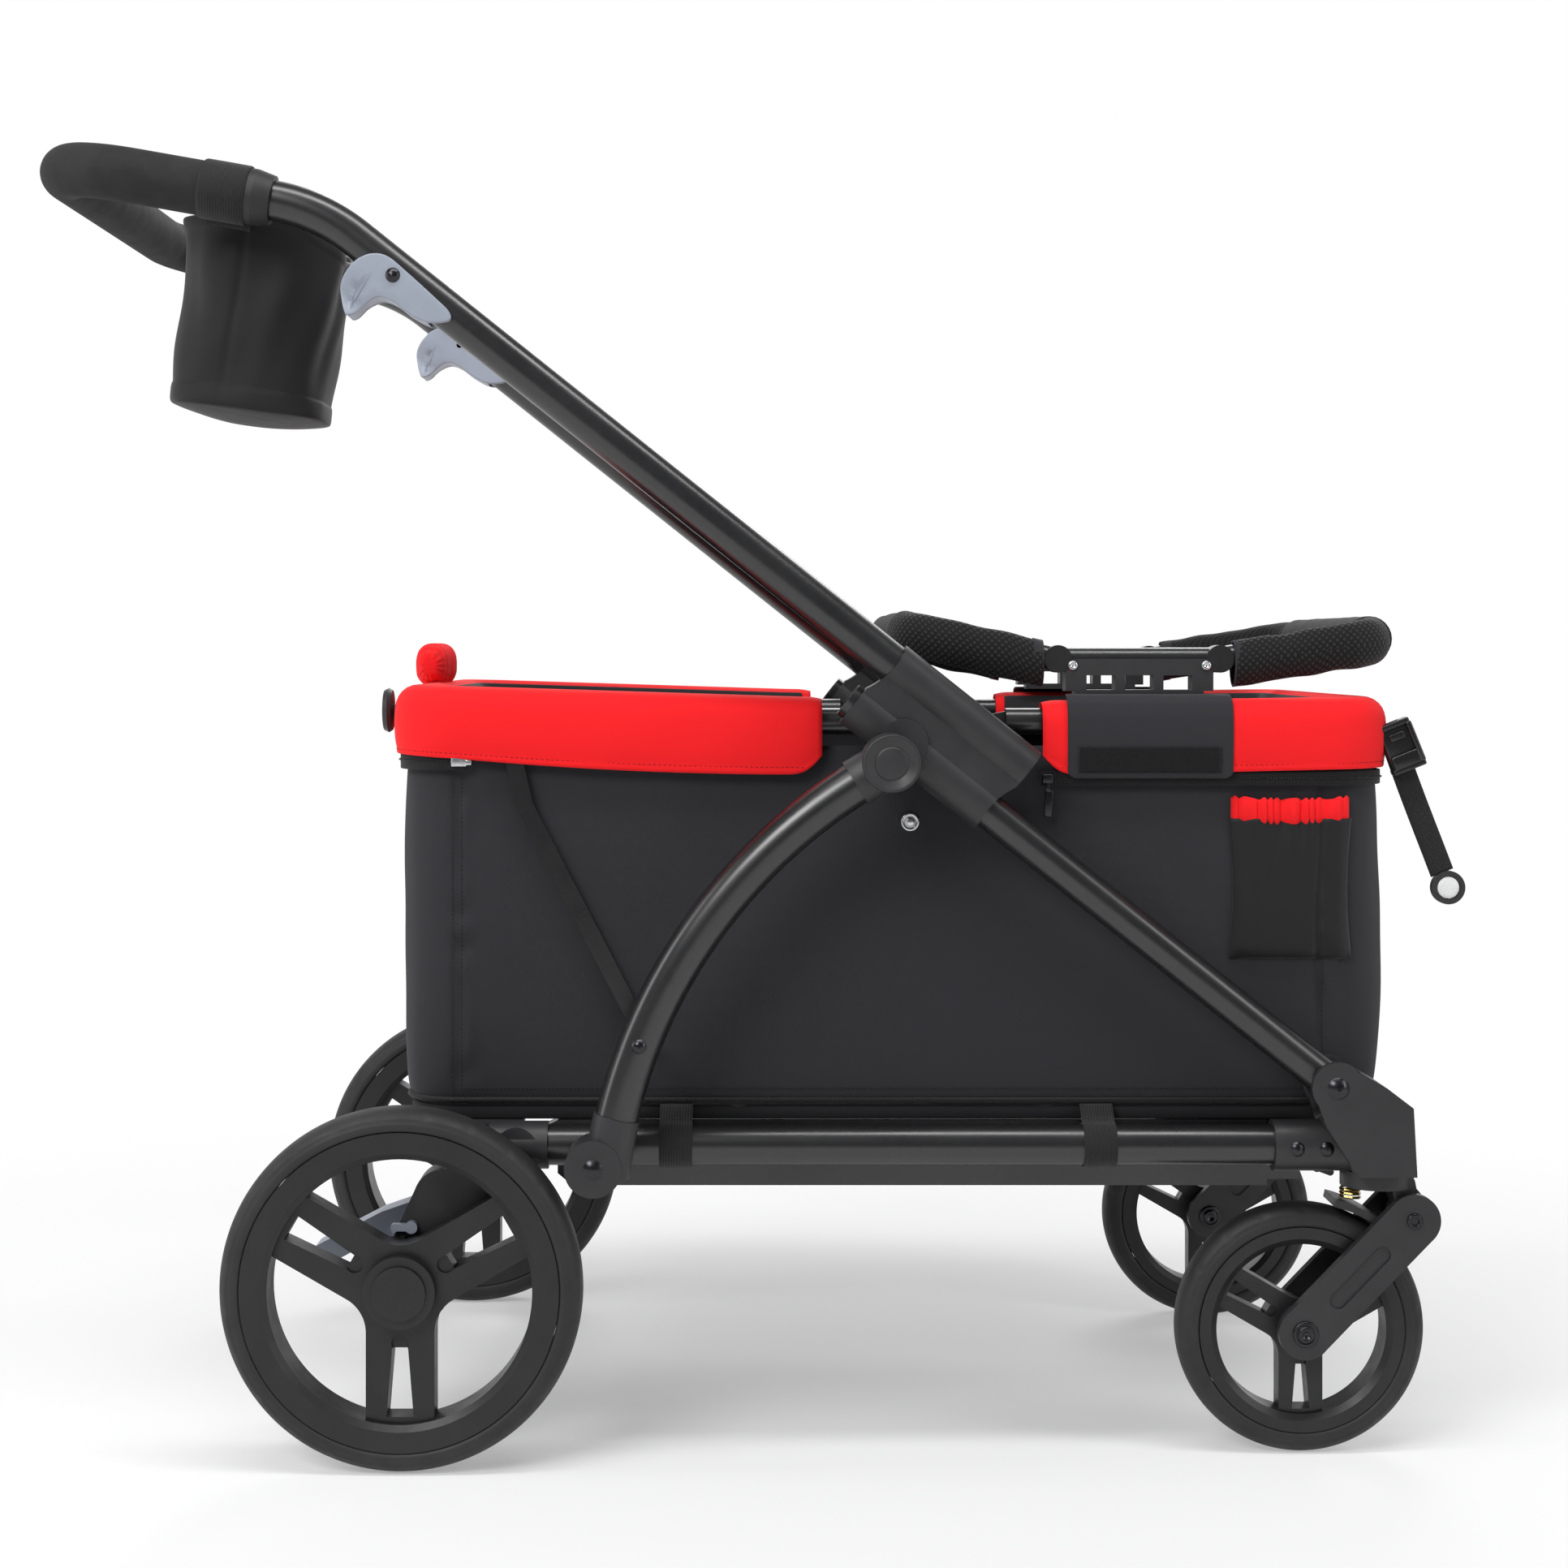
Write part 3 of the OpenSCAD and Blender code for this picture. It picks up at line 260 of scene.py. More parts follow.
lamps = [
    soft_lamp("top_bank", (0.1, -0.9, 3.0), (0, 0, 0.5), (2.8, 0.45), 42),
    soft_lamp("key_bank", (-1.9, -2.9, 2.9), (0, 0, 0.5), (1.8, 1.4), 82),
    soft_lamp("left_bank", (-2.8, -0.4, 1.3), (0, 0, 0.5), (0.6, 2.0), 16),
    soft_lamp("right_bank", (2.7, -1.4, 1.5), (0, 0, 0.5), (0.7, 2.0), 20),
    soft_lamp("back_bank", (0.6, 2.9, 2.6), (0, 0, 0.5), (2.2, 1.2), 45),
]
print("studio:", sweep.name, [lamp.name for lamp in lamps])

# %% [markdown]
# ## Helpers for node materials
# Every finish on the wagon is a Principled shader with a little texture in front of it. Small helpers keep
# the cells short: they start a material, add a noise, spread it over a range, and turn a grey value into
# colour, roughness or relief. Textures read Object coordinates, or the piece's own UV map in metres where
# cloth has to follow a curved surface.

# %% Material helpers
def start_material(name, colour, roughness, **sockets):
    material = bpy.data.materials.new(name)
    material.use_nodes = True
    shader = material.node_tree.nodes["Principled BSDF"]
    shader.inputs["Base Color"].default_value = (*colour, 1)
    shader.inputs["Roughness"].default_value = roughness
    for socket, value in sockets.items():
        shader.inputs[socket.replace("_", " ")].default_value = value
    return material


def coordinates(material, output="Object"):
    return material.node_tree.nodes.new("ShaderNodeTexCoord").outputs[output]


def add_noise(material, where, scale, detail):
    tree = material.node_tree
    texture = tree.nodes.new("ShaderNodeTexNoise")
    texture.inputs["Scale"].default_value = scale
    texture.inputs["Detail"].default_value = detail
    link_nodes(tree, (where, texture.inputs["Vector"]))
    return texture.outputs["Fac"]


def add_range(material, value, low, high):
    """Spreads the middle of a noise, where most of it lies, over a range."""
    tree = material.node_tree
    ramp = tree.nodes.new("ShaderNodeMapRange")
    for name, number in zip(("From Min", "From Max", "To Min", "To Max"), (0.3, 0.7, low, high)):
        ramp.inputs[name].default_value = number
    link_nodes(tree, (value, ramp.inputs["Value"]))
    return ramp.outputs["Result"]


def add_relief(material, height, depth, strength):
    tree = material.node_tree
    shader = tree.nodes["Principled BSDF"]
    bump = tree.nodes.new("ShaderNodeBump")
    bump.inputs["Strength"].default_value = strength
    bump.inputs["Distance"].default_value = depth
    before = shader.inputs["Normal"].links
    if before:
        link_nodes(tree, (before[0].from_socket, bump.inputs["Normal"]))
    link_nodes(tree, (height, bump.inputs["Height"]), (bump.outputs["Normal"], shader.inputs["Normal"]))


def tint(material, factor, dark, light):
    tree = material.node_tree
    mix = tree.nodes.new("ShaderNodeMix")
    mix.data_type = "RGBA"
    mix.inputs["A"].default_value = (*dark, 1)
    mix.inputs["B"].default_value = (*light, 1)
    shader = tree.nodes["Principled BSDF"]
    link_nodes(tree, (factor, mix.inputs["Factor"]), (mix.outputs["Result"], shader.inputs["Base Color"]))


def vary_roughness(material, where, scale, detail, low, high):
    tree = material.node_tree
    value = add_range(material, add_noise(material, where, scale, detail), low, high)
    link_nodes(tree, (value, tree.nodes["Principled BSDF"].inputs["Roughness"]))


print("material helpers are ready")

# %% [markdown]
# ## Hard finishes
# The tubes are powder coated: black, satin, with the faint waviness of baked powder. The moulded parts are
# charcoal with a fine spark-eroded grain, so they look softer than the tubes although they are as dark.
# Rubber is the dullest, and picks up dust, so its colour drifts a little. The levers are the only pale
# plastic on the frame.

# %% Hard finishes
def powder_coat():
    material = start_material("satin_powder_coat", (0.010, 0.010, 0.011), 0.24, Specular_IOR_Level=0.8)
    where = coordinates(material)
    specks = add_range(material, add_noise(material, where, 160, 3), 0, 1)
    tint(material, specks, (0.009, 0.009, 0.010), (0.013, 0.013, 0.014))
    vary_roughness(material, where, 14, 1, 0.26, 0.32)
    return material


def moulded(name, dark, light, roughness, grain):
    material = start_material(name, dark, roughness)
    where = coordinates(material)
    tint(material, add_range(material, add_noise(material, where, 22, 4), 0, 1), dark, light)
    vary_roughness(material, where, 60, 3, roughness - 0.06, roughness + 0.06)
    add_relief(material, add_noise(material, where, grain, 2), 0.00012, 0.5)
    return material


def plated(name, colour, roughness):
    material = start_material(name, colour, roughness, Metallic=1.0)
    where = coordinates(material)
    vary_roughness(material, where, 300, 3, roughness - 0.05, roughness + 0.08)
    return material


tube_coat = powder_coat()
charcoal_moulding = moulded("charcoal_moulding", (0.021, 0.021, 0.023), (0.029, 0.029, 0.031), 0.46, 1500)
rim_moulding = moulded("rim_moulding", (0.009, 0.009, 0.010), (0.014, 0.014, 0.015), 0.4, 1300)
tyre_rubber = moulded("tyre_rubber", (0.017, 0.016, 0.016), (0.025, 0.024, 0.024), 0.62, 800)
collar_rubber = moulded("collar_rubber", (0.014, 0.014, 0.015), (0.02, 0.02, 0.021), 0.58, 900)
grip_foam = moulded("grip_foam", (0.015, 0.014, 0.015), (0.021, 0.020, 0.021), 0.9, 650)
lever_plastic = moulded("lever_plastic", (0.28, 0.31, 0.37), (0.32, 0.35, 0.42), 0.42, 1200)
gloss_plastic = moulded("gloss_plastic", (0.009, 0.009, 0.010), (0.013, 0.013, 0.014), 0.22, 500)
white_plastic = moulded("white_plastic", (0.72, 0.73, 0.74), (0.8, 0.8, 0.8), 0.35, 800)
bolt_black = plated("black_oxide", (0.05, 0.05, 0.055), 0.28)
bright_steel = plated("bright_steel", (0.62, 0.62, 0.64), 0.25)
spring_plate = plated("yellow_zinc", (0.62, 0.44, 0.13), 0.3)
print("hard finishes:", len(bpy.data.materials))

# %% [markdown]
# ## Cloth finishes
# All cloth here is woven. A weave is two sets of threads that pass over and under each other, so the height
# of the surface is one wave across times one wave along. The same pattern at other sizes gives webbing
# (heavy ribs across), elastic and the open mesh of the adapter's sleeves. The cloth meshes carry a UV map
# in metres, so a thread keeps its width everywhere. A broad soft noise under the threads gives the slight
# pulls that flat cloth always has.

# %% Cloth finishes
def add_threads(material, where, across, along, slant=0.0):
    tree = material.node_tree
    mapping = tree.nodes.new("ShaderNodeMapping")
    mapping.inputs["Rotation"].default_value = (0, 0, slant)
    link_nodes(tree, (where, mapping.inputs["Vector"]))
    waves = []
    for direction, pitch in (("X", across), ("Y", along)):
        wave = tree.nodes.new("ShaderNodeTexWave")
        wave.bands_direction = direction
        wave.inputs["Scale"].default_value = 0.314 / pitch
        wave.inputs["Distortion"].default_value = 0.25
        wave.inputs["Detail Scale"].default_value = 3
        link_nodes(tree, (mapping.outputs["Vector"], wave.inputs["Vector"]))
        waves.append(wave.outputs["Fac"])
    height = tree.nodes.new("ShaderNodeMath")
    height.operation = "MULTIPLY"
    link_nodes(tree, (waves[0], height.inputs[0]), (waves[1], height.inputs[1]))
    return height.outputs["Value"]


def cloth(name, dark, light, across, along, relief, pulls=0.0012, roughness=0.8, sheen=0.12, slant=0.0):
    material = start_material(
        name, dark, roughness, Sheen_Weight=sheen, Sheen_Roughness=0.45, Specular_IOR_Level=0.25
    )
    where = coordinates(material, "UV")
    threads = add_threads(material, where, across, along, slant)
    tint(material, threads, dark, light)
    add_relief(material, add_noise(material, where, 16, 3), pulls, 0.6)
    add_relief(material, threads, relief, 0.8)
    return material


basket_cloth = cloth("black_polyester", (0.024, 0.023, 0.027), (0.037, 0.036, 0.042),
                     across=0.0007, along=0.0007, relief=0.00016)
lining_cloth = cloth("black_lining", (0.016, 0.016, 0.018), (0.025, 0.025, 0.028),
                     across=0.0009, along=0.0009, relief=0.00014, pulls=0.002)
red_cloth = cloth("red_polyester", (0.92, 0.008, 0.012), (1.0, 0.014, 0.017),
                  across=0.0008, along=0.0008, relief=0.00014, pulls=0.0016, sheen=0.05)
bag_cloth = cloth("black_nylon", (0.010, 0.010, 0.011), (0.018, 0.017, 0.019),
                  across=0.0006, along=0.0006, relief=0.0001, pulls=0.002, roughness=0.55, sheen=0.1)
black_webbing = cloth("black_webbing", (0.012, 0.012, 0.013), (0.030, 0.030, 0.032),
                      across=0.0022, along=0.0011, relief=0.0005, pulls=0.0003, roughness=0.7)
hook_tape = cloth("hook_tape", (0.007, 0.007, 0.008), (0.020, 0.020, 0.021),
                  across=0.0014, along=0.0014, relief=0.0007, pulls=0.0002, roughness=0.95)
zip_tape = cloth("zip_tape", (0.009, 0.009, 0.010), (0.018, 0.018, 0.019),
                 across=0.0009, along=0.0018, relief=0.0003, pulls=0.0003, roughness=0.75)
sleeve_mesh = cloth("sleeve_mesh", (0.004, 0.004, 0.004), (0.030, 0.030, 0.031),
                    across=0.0042, along=0.0042, relief=0.0011, pulls=0.002, sheen=0.1, slant=0.785)
thread_black = cloth("black_thread", (0.008, 0.008, 0.009), (0.026, 0.026, 0.028),
                     across=0.0005, along=0.0005, relief=0.0001)
thread_red = cloth("red_thread", (0.34, 0.004, 0.006), (0.48, 0.006, 0.008),
                   across=0.0005, along=0.0005, relief=0.0001)
print("finishes so far:", len(bpy.data.materials))

# %% [markdown]
# ## Painting the solids
# The solids keep their shape, so they only need the right finish. Each list below is one batch, as it would
# come out of the same mould shop or paint line.

# %% Paint the solids
def both(*stems):
    return [side_name(stem, side) for stem in stems for side in (RIGHT, LEFT)]


batches = [
    (tube_coat, both("side_tube", "front_leg", "rear_leg")),
    (tube_coat, ["front_cross_tube", "handle_tube", "rear_rail", "front_rail", "floor_rails",
                 "adapter_ring"]),
    (gloss_plastic, both("rail_link")),
    (charcoal_moulding, both("front_block", "rear_bracket", "slider_housing", "swivel_yoke", "swing_arm")),
    (charcoal_moulding,
     both("swivel_lock") + ["rear_leg_caps", "adapter_brackets", "rear_knob", "pull_ring"]),
    (collar_rubber, ["grip_collars"]),
    (bolt_black, ["frame_bolts", "handle_pins", "link_pins", "rear_axle"]),
    (grip_foam, ["handle_grip"]),
    (lever_plastic, both("release_lever") + ["brake_pedal"]),
    (spring_plate, both("spring")),
    (tyre_rubber, both("front_tyre", "rear_tyre")),
    (rim_moulding, both("front_rim", "rear_rim")),
    (basket_cloth, both("basket_side") + ["basket_front", "basket_rear", "floor_board"]),
    (red_cloth, ["rear_cover", "front_cover", "headrest_roll"]),
    (black_webbing, ["cup_holder", "cup_straps", "pull_strap"]),
]
for finish, names in batches:
    for name in names:
        nodes[name].data.materials.clear()
        nodes[name].data.materials.append(finish)
print("painted", sum(len(names) for _, names in batches), "of", len(nodes), "solids")

# %% [markdown]
# ## Sewing helpers
# A sewn part starts as a grid of points: one row after another, each row along the cloth. The helper below
# joins the rows into faces and lays out a UV map in true metres, so threads and stitches keep their size. A
# second helper gives the sheet its thickness and smoothness and hands back a plain mesh, because the
# modifiers are only tools here.

# %% Sewing helpers
def turn_angles(count):
    """Even angles once round."""
    return np.linspace(0, 2 * math.pi, count, endpoint=False)


def directions(path):
    """The unit direction of a path at each of its points."""
    run = np.gradient(np.asarray(path, float), axis=0)
    return run / np.linalg.norm(run, axis=1)[:, None]


def squared_round(angles, power):
    """The radius of a square with round sides. Power 2 makes a circle, and a higher power a squarer shape."""
    return (np.abs(np.cos(angles)) ** power + np.abs(np.sin(angles)) ** power) ** (-1 / power)


def lofted(name, rows, closed=False):
    grid = np.asarray(rows, float)
    count, length = grid.shape[:2]
    ring = np.concatenate([grid, grid[:, :1]], 1) if closed else grid
    along = np.cumsum(np.linalg.norm(np.diff(ring, axis=1), axis=2), 1)
    across = np.cumsum(np.linalg.norm(np.diff(ring, axis=0), axis=2), 0)
    along = np.pad(along, ((0, 0), (1, 0))) * MM
    across = np.pad(across, ((1, 0), (0, 0))) * MM
    quads = [[(i, j), (i, j + 1), (i + 1, j + 1), (i + 1, j)]
             for i in range(count - 1) for j in range(ring.shape[1] - 1)]
    faces = [[i * length + j % length for i, j in quad] for quad in quads]
    mesh = bpy.data.meshes.new(name)
    mesh.from_pydata([place(*p) for p in grid.reshape(-1, 3)], [], faces)
    uv_map = mesh.uv_layers.new(name="metres")
    uv_map.data.foreach_set("uv", [c for q in quads for i, j in q for c in (along[i, j], across[i, j])])
    mesh.shade_smooth()
    return add_object(name, mesh)


def settle(piece):
    """Turns a piece's modifiers into plain mesh."""
    graph = bpy.context.evaluated_depsgraph_get()
    final = piece.evaluated_get(graph)
    mesh = bpy.data.meshes.new_from_object(final, preserve_all_data_layers=True, depsgraph=graph)
    piece.modifiers.clear()
    piece.data = mesh
    return piece


def face_outwards(piece, work=None):
    """Turns all faces outwards, of the piece or of a mesh that was worked on for it."""
    if work is None:
        work = bmesh.new()
        work.from_mesh(piece.data)
    bmesh.ops.recalc_face_normals(work, faces=work.faces)
    work.to_mesh(piece.data)
    work.free()
    return piece


def weld(piece):
    """Joins the points that lie on each other, where a loft ends on its own first row."""
    work = bmesh.new()
    work.from_mesh(piece.data)
    bmesh.ops.remove_doubles(work, verts=work.verts, dist=1e-6)
    return face_outwards(piece, work)


def close_holes(piece):
    work = bmesh.new()
    work.from_mesh(piece.data)
    caps = bmesh.ops.holes_fill(work, edges=[e for e in work.edges if e.is_boundary])["faces"]
    bmesh.ops.triangulate(work, faces=[f for f in caps if len(f.verts) > 4], ngon_method="EAR_CLIP")
    return face_outwards(piece, work)


def solid(name, rows):
    """A closed loft with both ends filled."""
    return close_holes(lofted(name, rows, closed=True))


def thicken(piece, thickness, levels=1, offset=0.0):
    wall = piece.modifiers.new("wall", "SOLIDIFY")
    wall.thickness = thickness * MM
    wall.offset = offset
    wall.use_even_offset = False
    if levels:
        smooth = piece.modifiers.new("smooth", "SUBSURF")
        smooth.levels = smooth.render_levels = levels
    return face_outwards(settle(piece))


def dress(piece, finish, body):
    """Gives a piece its finish, and the body that it belongs to."""
    piece.data.materials.clear()
    piece.data.materials.append(finish)
    piece.data.shade_smooth()
    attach(piece, body)
    return piece


def soft_noise(points, scale, seed):
    """A smooth repeatable waviness between -1 and 1 at some points, from a few crossing sine waves."""
    chance = np.random.default_rng(seed)
    points = np.asarray(points, float)
    total = np.zeros(points.shape[:-1])
    for _ in range(7):
        direction = chance.normal(size=points.shape[-1])
        direction *= chance.uniform(0.6, 1.5) / np.linalg.norm(direction) / scale
        total += np.sin(points @ direction * 2 * np.pi + chance.uniform(0, 2 * np.pi))
    return total / 4


print("sewing helpers are ready")

# %% [markdown]
# ## The line of the rim
# The two rim rails lie on a rounded rectangle, and everything sewn round the basket follows it: walls, rim
# covers, piping, zips. So the line is written once, as points with the direction that faces outwards at
# each. A U of it starts at the open end on the right side, goes round the far end, and comes back on the
# left side.

# %% Rim line
RAIL_X0, RAIL_X1, RAIL_Y, RAIL_CORNER = -275.0, 510.0, 208.0, 32.0


def rim_u(open_x, far_x, step):
    """Points and outward directions of a U of the rim line, from the right side round to the left."""
    way = math.copysign(1, far_x - open_x)
    bend_x = far_x - way * RAIL_CORNER
    sides = max(2, int(abs(bend_x - open_x) / step))
    line = [(open_x + (bend_x - open_x) * t, -RAIL_Y, 0, -1)
            for t in np.linspace(0, 1, sides, endpoint=False)]
    bend = max(9, int(RAIL_CORNER * math.pi / 2 / step))
    for a in np.linspace(0, math.pi / 2, bend, endpoint=False):
        out = (way * math.sin(a), -math.cos(a))
        line.append((bend_x + RAIL_CORNER * out[0], -RAIL_Y + RAIL_CORNER + RAIL_CORNER * out[1], *out))
    half = RAIL_Y - RAIL_CORNER
    line += [(far_x, y, way, 0) for y in np.linspace(-half, half, int(2 * half / step))]
    line += [(x, -y, nx, -ny) for x, y, nx, ny in reversed(line[: sides + bend])]
    return np.array(line)


MIDDLE_X = 150.0
rear_u = rim_u(MIDDLE_X, RAIL_X0, 4.0)
front_u = rim_u(MIDDLE_X, RAIL_X1, 4.0)
rim_loop = np.concatenate([rear_u, front_u[-2:0:-1]])


def offset_line(line, out, z):
    """The rim line moved outwards, at a height. out and z are numbers or one value for each point."""
    out = np.broadcast_to(out, len(line))
    z = np.broadcast_to(z, len(line))
    return np.stack([line[:, 0] + line[:, 2] * out, line[:, 1] + line[:, 3] * out, z], 1)


print(f"rim line of {len(rim_loop)} points")

# %% [markdown]
# ## Basket
# The basket is one bag of black polyester that hangs from the rim and stands on the floor board. Flat
# plates would look like a box, so the wall is a loft round the rim line: it bellies out between floor and
# rim, most at the two ends where no tube holds it, pulls in at the corner seams, and carries a few long
# slack folds. The real cloth crumples when the frame folds, which is not drawn here.

# %% Basket
FLOOR_TOP, BASKET_FOOT, BASKET_TOP, WALL_GAP = 282.0, 283.0, 580.0, 12.2


def crumple(piece):
    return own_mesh(piece)


SEAMS_X = (-243.0, 470.0)


def seam_pull(line, height):
    """Thread draws the cloth in at the upright seams of the sides, and puckers it beside them."""
    z = 300 * height
    pull = np.zeros(len(line))
    for number, seam_x in enumerate(SEAMS_X):
        away = line[:, 0] - seam_x - 2.0 * math.sin(z / 37 + number)
        pucker = math.sin(z / 8.6 + 2.2 * math.sin(z / 23)) * math.sin(z / 31 + 1.1 * number)
        pull += -2.6 * np.exp(-((away / 2.8) ** 2)) + 2.4 * pucker * np.exp(-(((away - 6) / 7.0) ** 2))
        pull += 1.0 * np.exp(-(((away + 11) / 8) ** 2))
    return pull * (1 - np.abs(line[:, 2])) * min(1.0, 12 * height, 12 * (1 - height))


def wall_bulge(line, height):
    """How far the cloth stands off its straight wall, at a share of the height."""
    ends = np.abs(line[:, 2]) ** 2
    belly = math.sin(math.pi * height) ** 0.8
    sides = 0.7 * belly * (1 - ends)
    front = np.where(line[:, 2] > 0, 9.0, 5.0) * ends * belly
    up = np.full(len(line), height)
    slack = soft_noise(np.stack([line[:, 0] + 2 * line[:, 1], 130 * up], 1), 150, 3)
    corner = (np.abs(line[:, 2]) > 0.2) & (np.abs(line[:, 2]) < 0.95)
    drag = soft_noise(np.stack([line[:, 0] + 0.6 * (BASKET_TOP - BASKET_FOOT) * height, 120 * up], 1), 62, 8)
    slack = slack * np.where(ends > 0.5, 2.0, 1.2) + 0.45 * drag
    return sides + front + slack * belly - 1.5 * corner * belly + seam_pull(line, height)


wall_rows = []
for height in np.linspace(0, 1, 64):
    foot_tuck = -5.0 * math.exp(-height / 0.02)
    wall_rows.append(offset_line(rim_loop, WALL_GAP + wall_bulge(rim_loop, height) + foot_tuck,
                                 BASKET_FOOT + height * (BASKET_TOP - BASKET_FOOT)))
basket = thicken(lofted("basket_wall", wall_rows, closed=True), 1.6, levels=0)
dress(basket, basket_cloth, "chassis")
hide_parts("basket_side_right", "basket_side_left", "basket_front", "basket_rear")
crumple(basket)

# %% [markdown]
# ## Rim covers
# Each half of the rim wears a padded red cover, folded over the rail like a saddle: a deep wall outside, a
# soft top and a short lip inside. The section is drawn once as a middle line with a thickness, swept along
# the rim, and thinned to nothing at the two open ends, which rounds them as a sewn edge does. The hem is
# pinched where the seam runs. The rear cover sits a little higher at the back, as on the real rim.

# %% Rim covers
COVER_SECTION = np.array([
    # outwards, height, thickness
    (22.5, 556.4, 2.0), (23.0, 559.5, 2.8), (23.0, 562.5, 1.8), (23.2, 566.0, 2.8), (23.7, 573.0, 3.8),
    (24.0, 583.0, 4.4), (24.0, 593.0, 4.2), (23.8, 603.0, 3.8), (22.4, 610.6, 3.0), (15.6, 617.6, 3.4),
    (5.0, 619.4, 4.2), (-4.0, 617.4, 4.0), (-10.2, 612.6, 3.2), (-13.2, 605.0, 2.6),
    (-13.4, 598.0, 2.4), (-13.2, 592.0, 1.8)])
COVER_REACH, COVER_FOOT, COVER_RISE = 91.0, 556.0, 60.0


def section_sides(section, thickness):
    """The two faces of a padded section, as one loop round it."""
    run = directions(section[:, :2])
    square = np.stack([run[:, 1], -run[:, 0]], 1) * thickness[:, None] / 2
    return np.concatenate([section[:, :2] + square, (section[:, :2] - square)[::-1]])


def padded_cover(name, line, lift, hem_rise, seed):
    """Sweeps the cover's section along a U of the rim line. lift and hem_rise raise it at each point."""
    steps = np.linalg.norm(np.diff(line[:, :2], axis=0), axis=1)
    travel = np.concatenate([[0], np.cumsum(steps)])
    to_end = np.minimum(travel, travel[-1] - travel)
    stations = []
    for point, near, up, hem in zip(line, to_end, lift, hem_rise):
        rounding = math.sqrt(1 - max(0.0, 1 - near / 5.0) ** 2) * 0.97 + 0.03
        loop = section_sides(COVER_SECTION, COVER_SECTION[:, 2] * rounding)
        high = np.clip((loop[:, 1] - COVER_FOOT) / COVER_RISE, 0, 1)
        corner_cut = 16 * max(0.0, 1 - near / 22.0) ** 2
        loop[:, 1] += up * high + (hem + corner_cut) * (1 - high) ** 2
        x, y = (point[axis] + point[axis + 2] * loop[:, 0] for axis in (0, 1))
        stations.append(np.stack([x, y, loop[:, 1]], 1))
    stations = np.array(stations)
    sway = soft_noise(stations[..., :3] * (1, 1, 1.6), 95, seed)
    stations[..., :2] += line[:, None, 2:4] * (0.35 * sway)[..., None]
    cover = lofted(name, stations, closed=True)
    smooth = cover.modifiers.new("smooth", "SUBSURF")
    smooth.levels = smooth.render_levels = 1
    return close_holes(settle(cover))


rear_line = rim_u(MIDDLE_X - COVER_REACH, RAIL_X0, 8.0)
back_share = np.clip((40 - rear_line[:, 0]) / 320, 0, 1)
rear_lift, rear_hem = 10.0 * back_share, 17.0 * back_share ** 2
front_line = rim_u(MIDDLE_X + COVER_REACH, RAIL_X1, 8.0)
fore_share = np.clip((front_line[:, 0] - 300) / 210, 0, 1)
front_lift, front_hem = -3.0 * (1 - fore_share), 5.0 * fore_share
COVERS = (("rear", rear_line, rear_lift, rear_hem), ("front", front_line, front_lift, front_hem))
for seed, (stem, line, lift, hem_rise) in enumerate(COVERS, 11):
    cover = padded_cover(f"{stem}_rim_cover", line, lift, hem_rise, seed)
    dress(cover, red_cloth, f"{stem}_rail")
    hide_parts(f"{stem}_cover")
    print(f"{stem} rim cover:", len(cover.data.polygons), "faces")

# %% [markdown]
# ## Cover linings
# Inside the basket the red covers are faced with black lining, which hangs a little lower than the red lip.
# Across the rim it shows as a dark band under the far cover. It is a thin sheet laid over the lip, from
# just behind the crown.

# %% Cover linings
LINING_SECTION = ((-9.0, 617.4), (-10.6, 616.0), (-12.4, 613.6), (-14.8, 607.6), (-15.8, 599.0),
                  (-15.8, 588.0), (-15.4, 577.0))
for seed, (stem, line, lift, _) in enumerate(COVERS, 31):
    rows = []
    for out, z in LINING_SECTION:
        share = min(1.0, max(0.0, (z - COVER_FOOT) / COVER_RISE))
        sag = 1.1 * soft_noise(np.stack([line[:, 0], line[:, 1]], 1), 70, seed) * (1 - share)
        rows.append(offset_line(line, out - sag, z + lift * share)[1:-1])
    lining = thicken(lofted(f"{stem}_cover_lining", rows), 1.2)
    dress(lining, lining_cloth, f"{stem}_rail")
print("cover linings: 2")

# %% [markdown]
# ## Gathered roll
# A small red roll sits on the middle of the rear rim, gathered by an elastic inside, so it looks like a
# bow: two plump upright lobes with a waist between them. Its radius follows that shape along the roll.
# Sharp valleys between round ribs make the pleats, each rib with its own depth, and the ends pucker round
# the knot of their seam.

# %% Gathered roll
def gathered_roll(name, centre, length, half_wide, half_high, ribs, seed):
    chance = np.random.default_rng(seed)
    depth = chance.uniform(0.05, 0.15, ribs + 1)
    lean = chance.uniform(-0.3, 0.3, ribs + 1)
    angles = turn_angles(72)
    rows = []
    for share in 0.5 - 0.5 * np.cos(np.linspace(0.02, 0.98, ribs * 9) * math.pi):
        edge = 2 * abs(share - 0.5)
        pillow = (1 - edge ** 3.4) ** 0.5 * (1 - 0.30 * math.exp(-((share - 0.5) / 0.09) ** 2))
        number = int(share * ribs)
        phase = share * ribs + 0.16 * np.sin(2 * angles + 6 * lean[number])
        rib = 1 - depth[number] * (1 - np.abs(np.sin(math.pi * phase)) ** 0.6)
        pucker = 1 + 0.11 * edge ** 6 * np.sin(13 * angles + 2 * np.sin(3 * angles))
        seat = np.where(np.sin(angles) < -0.5, 0.94, 1.0)
        square = squared_round(angles, 2.6)
        r = pillow * rib * pucker * square
        dent = 3.2 * math.exp(-((1 - edge) / 0.05) ** 2) * math.copysign(1, share - 0.5)
        x = centre[0] + half_wide * r * np.cos(angles)
        y = centre[1] + length * (share - 0.5) - dent * (1 - np.clip(r, 0, 1))
        rows.append(np.stack([x, y, centre[2] + half_high * r * np.sin(angles) * seat], 1))
    return solid(name, rows)


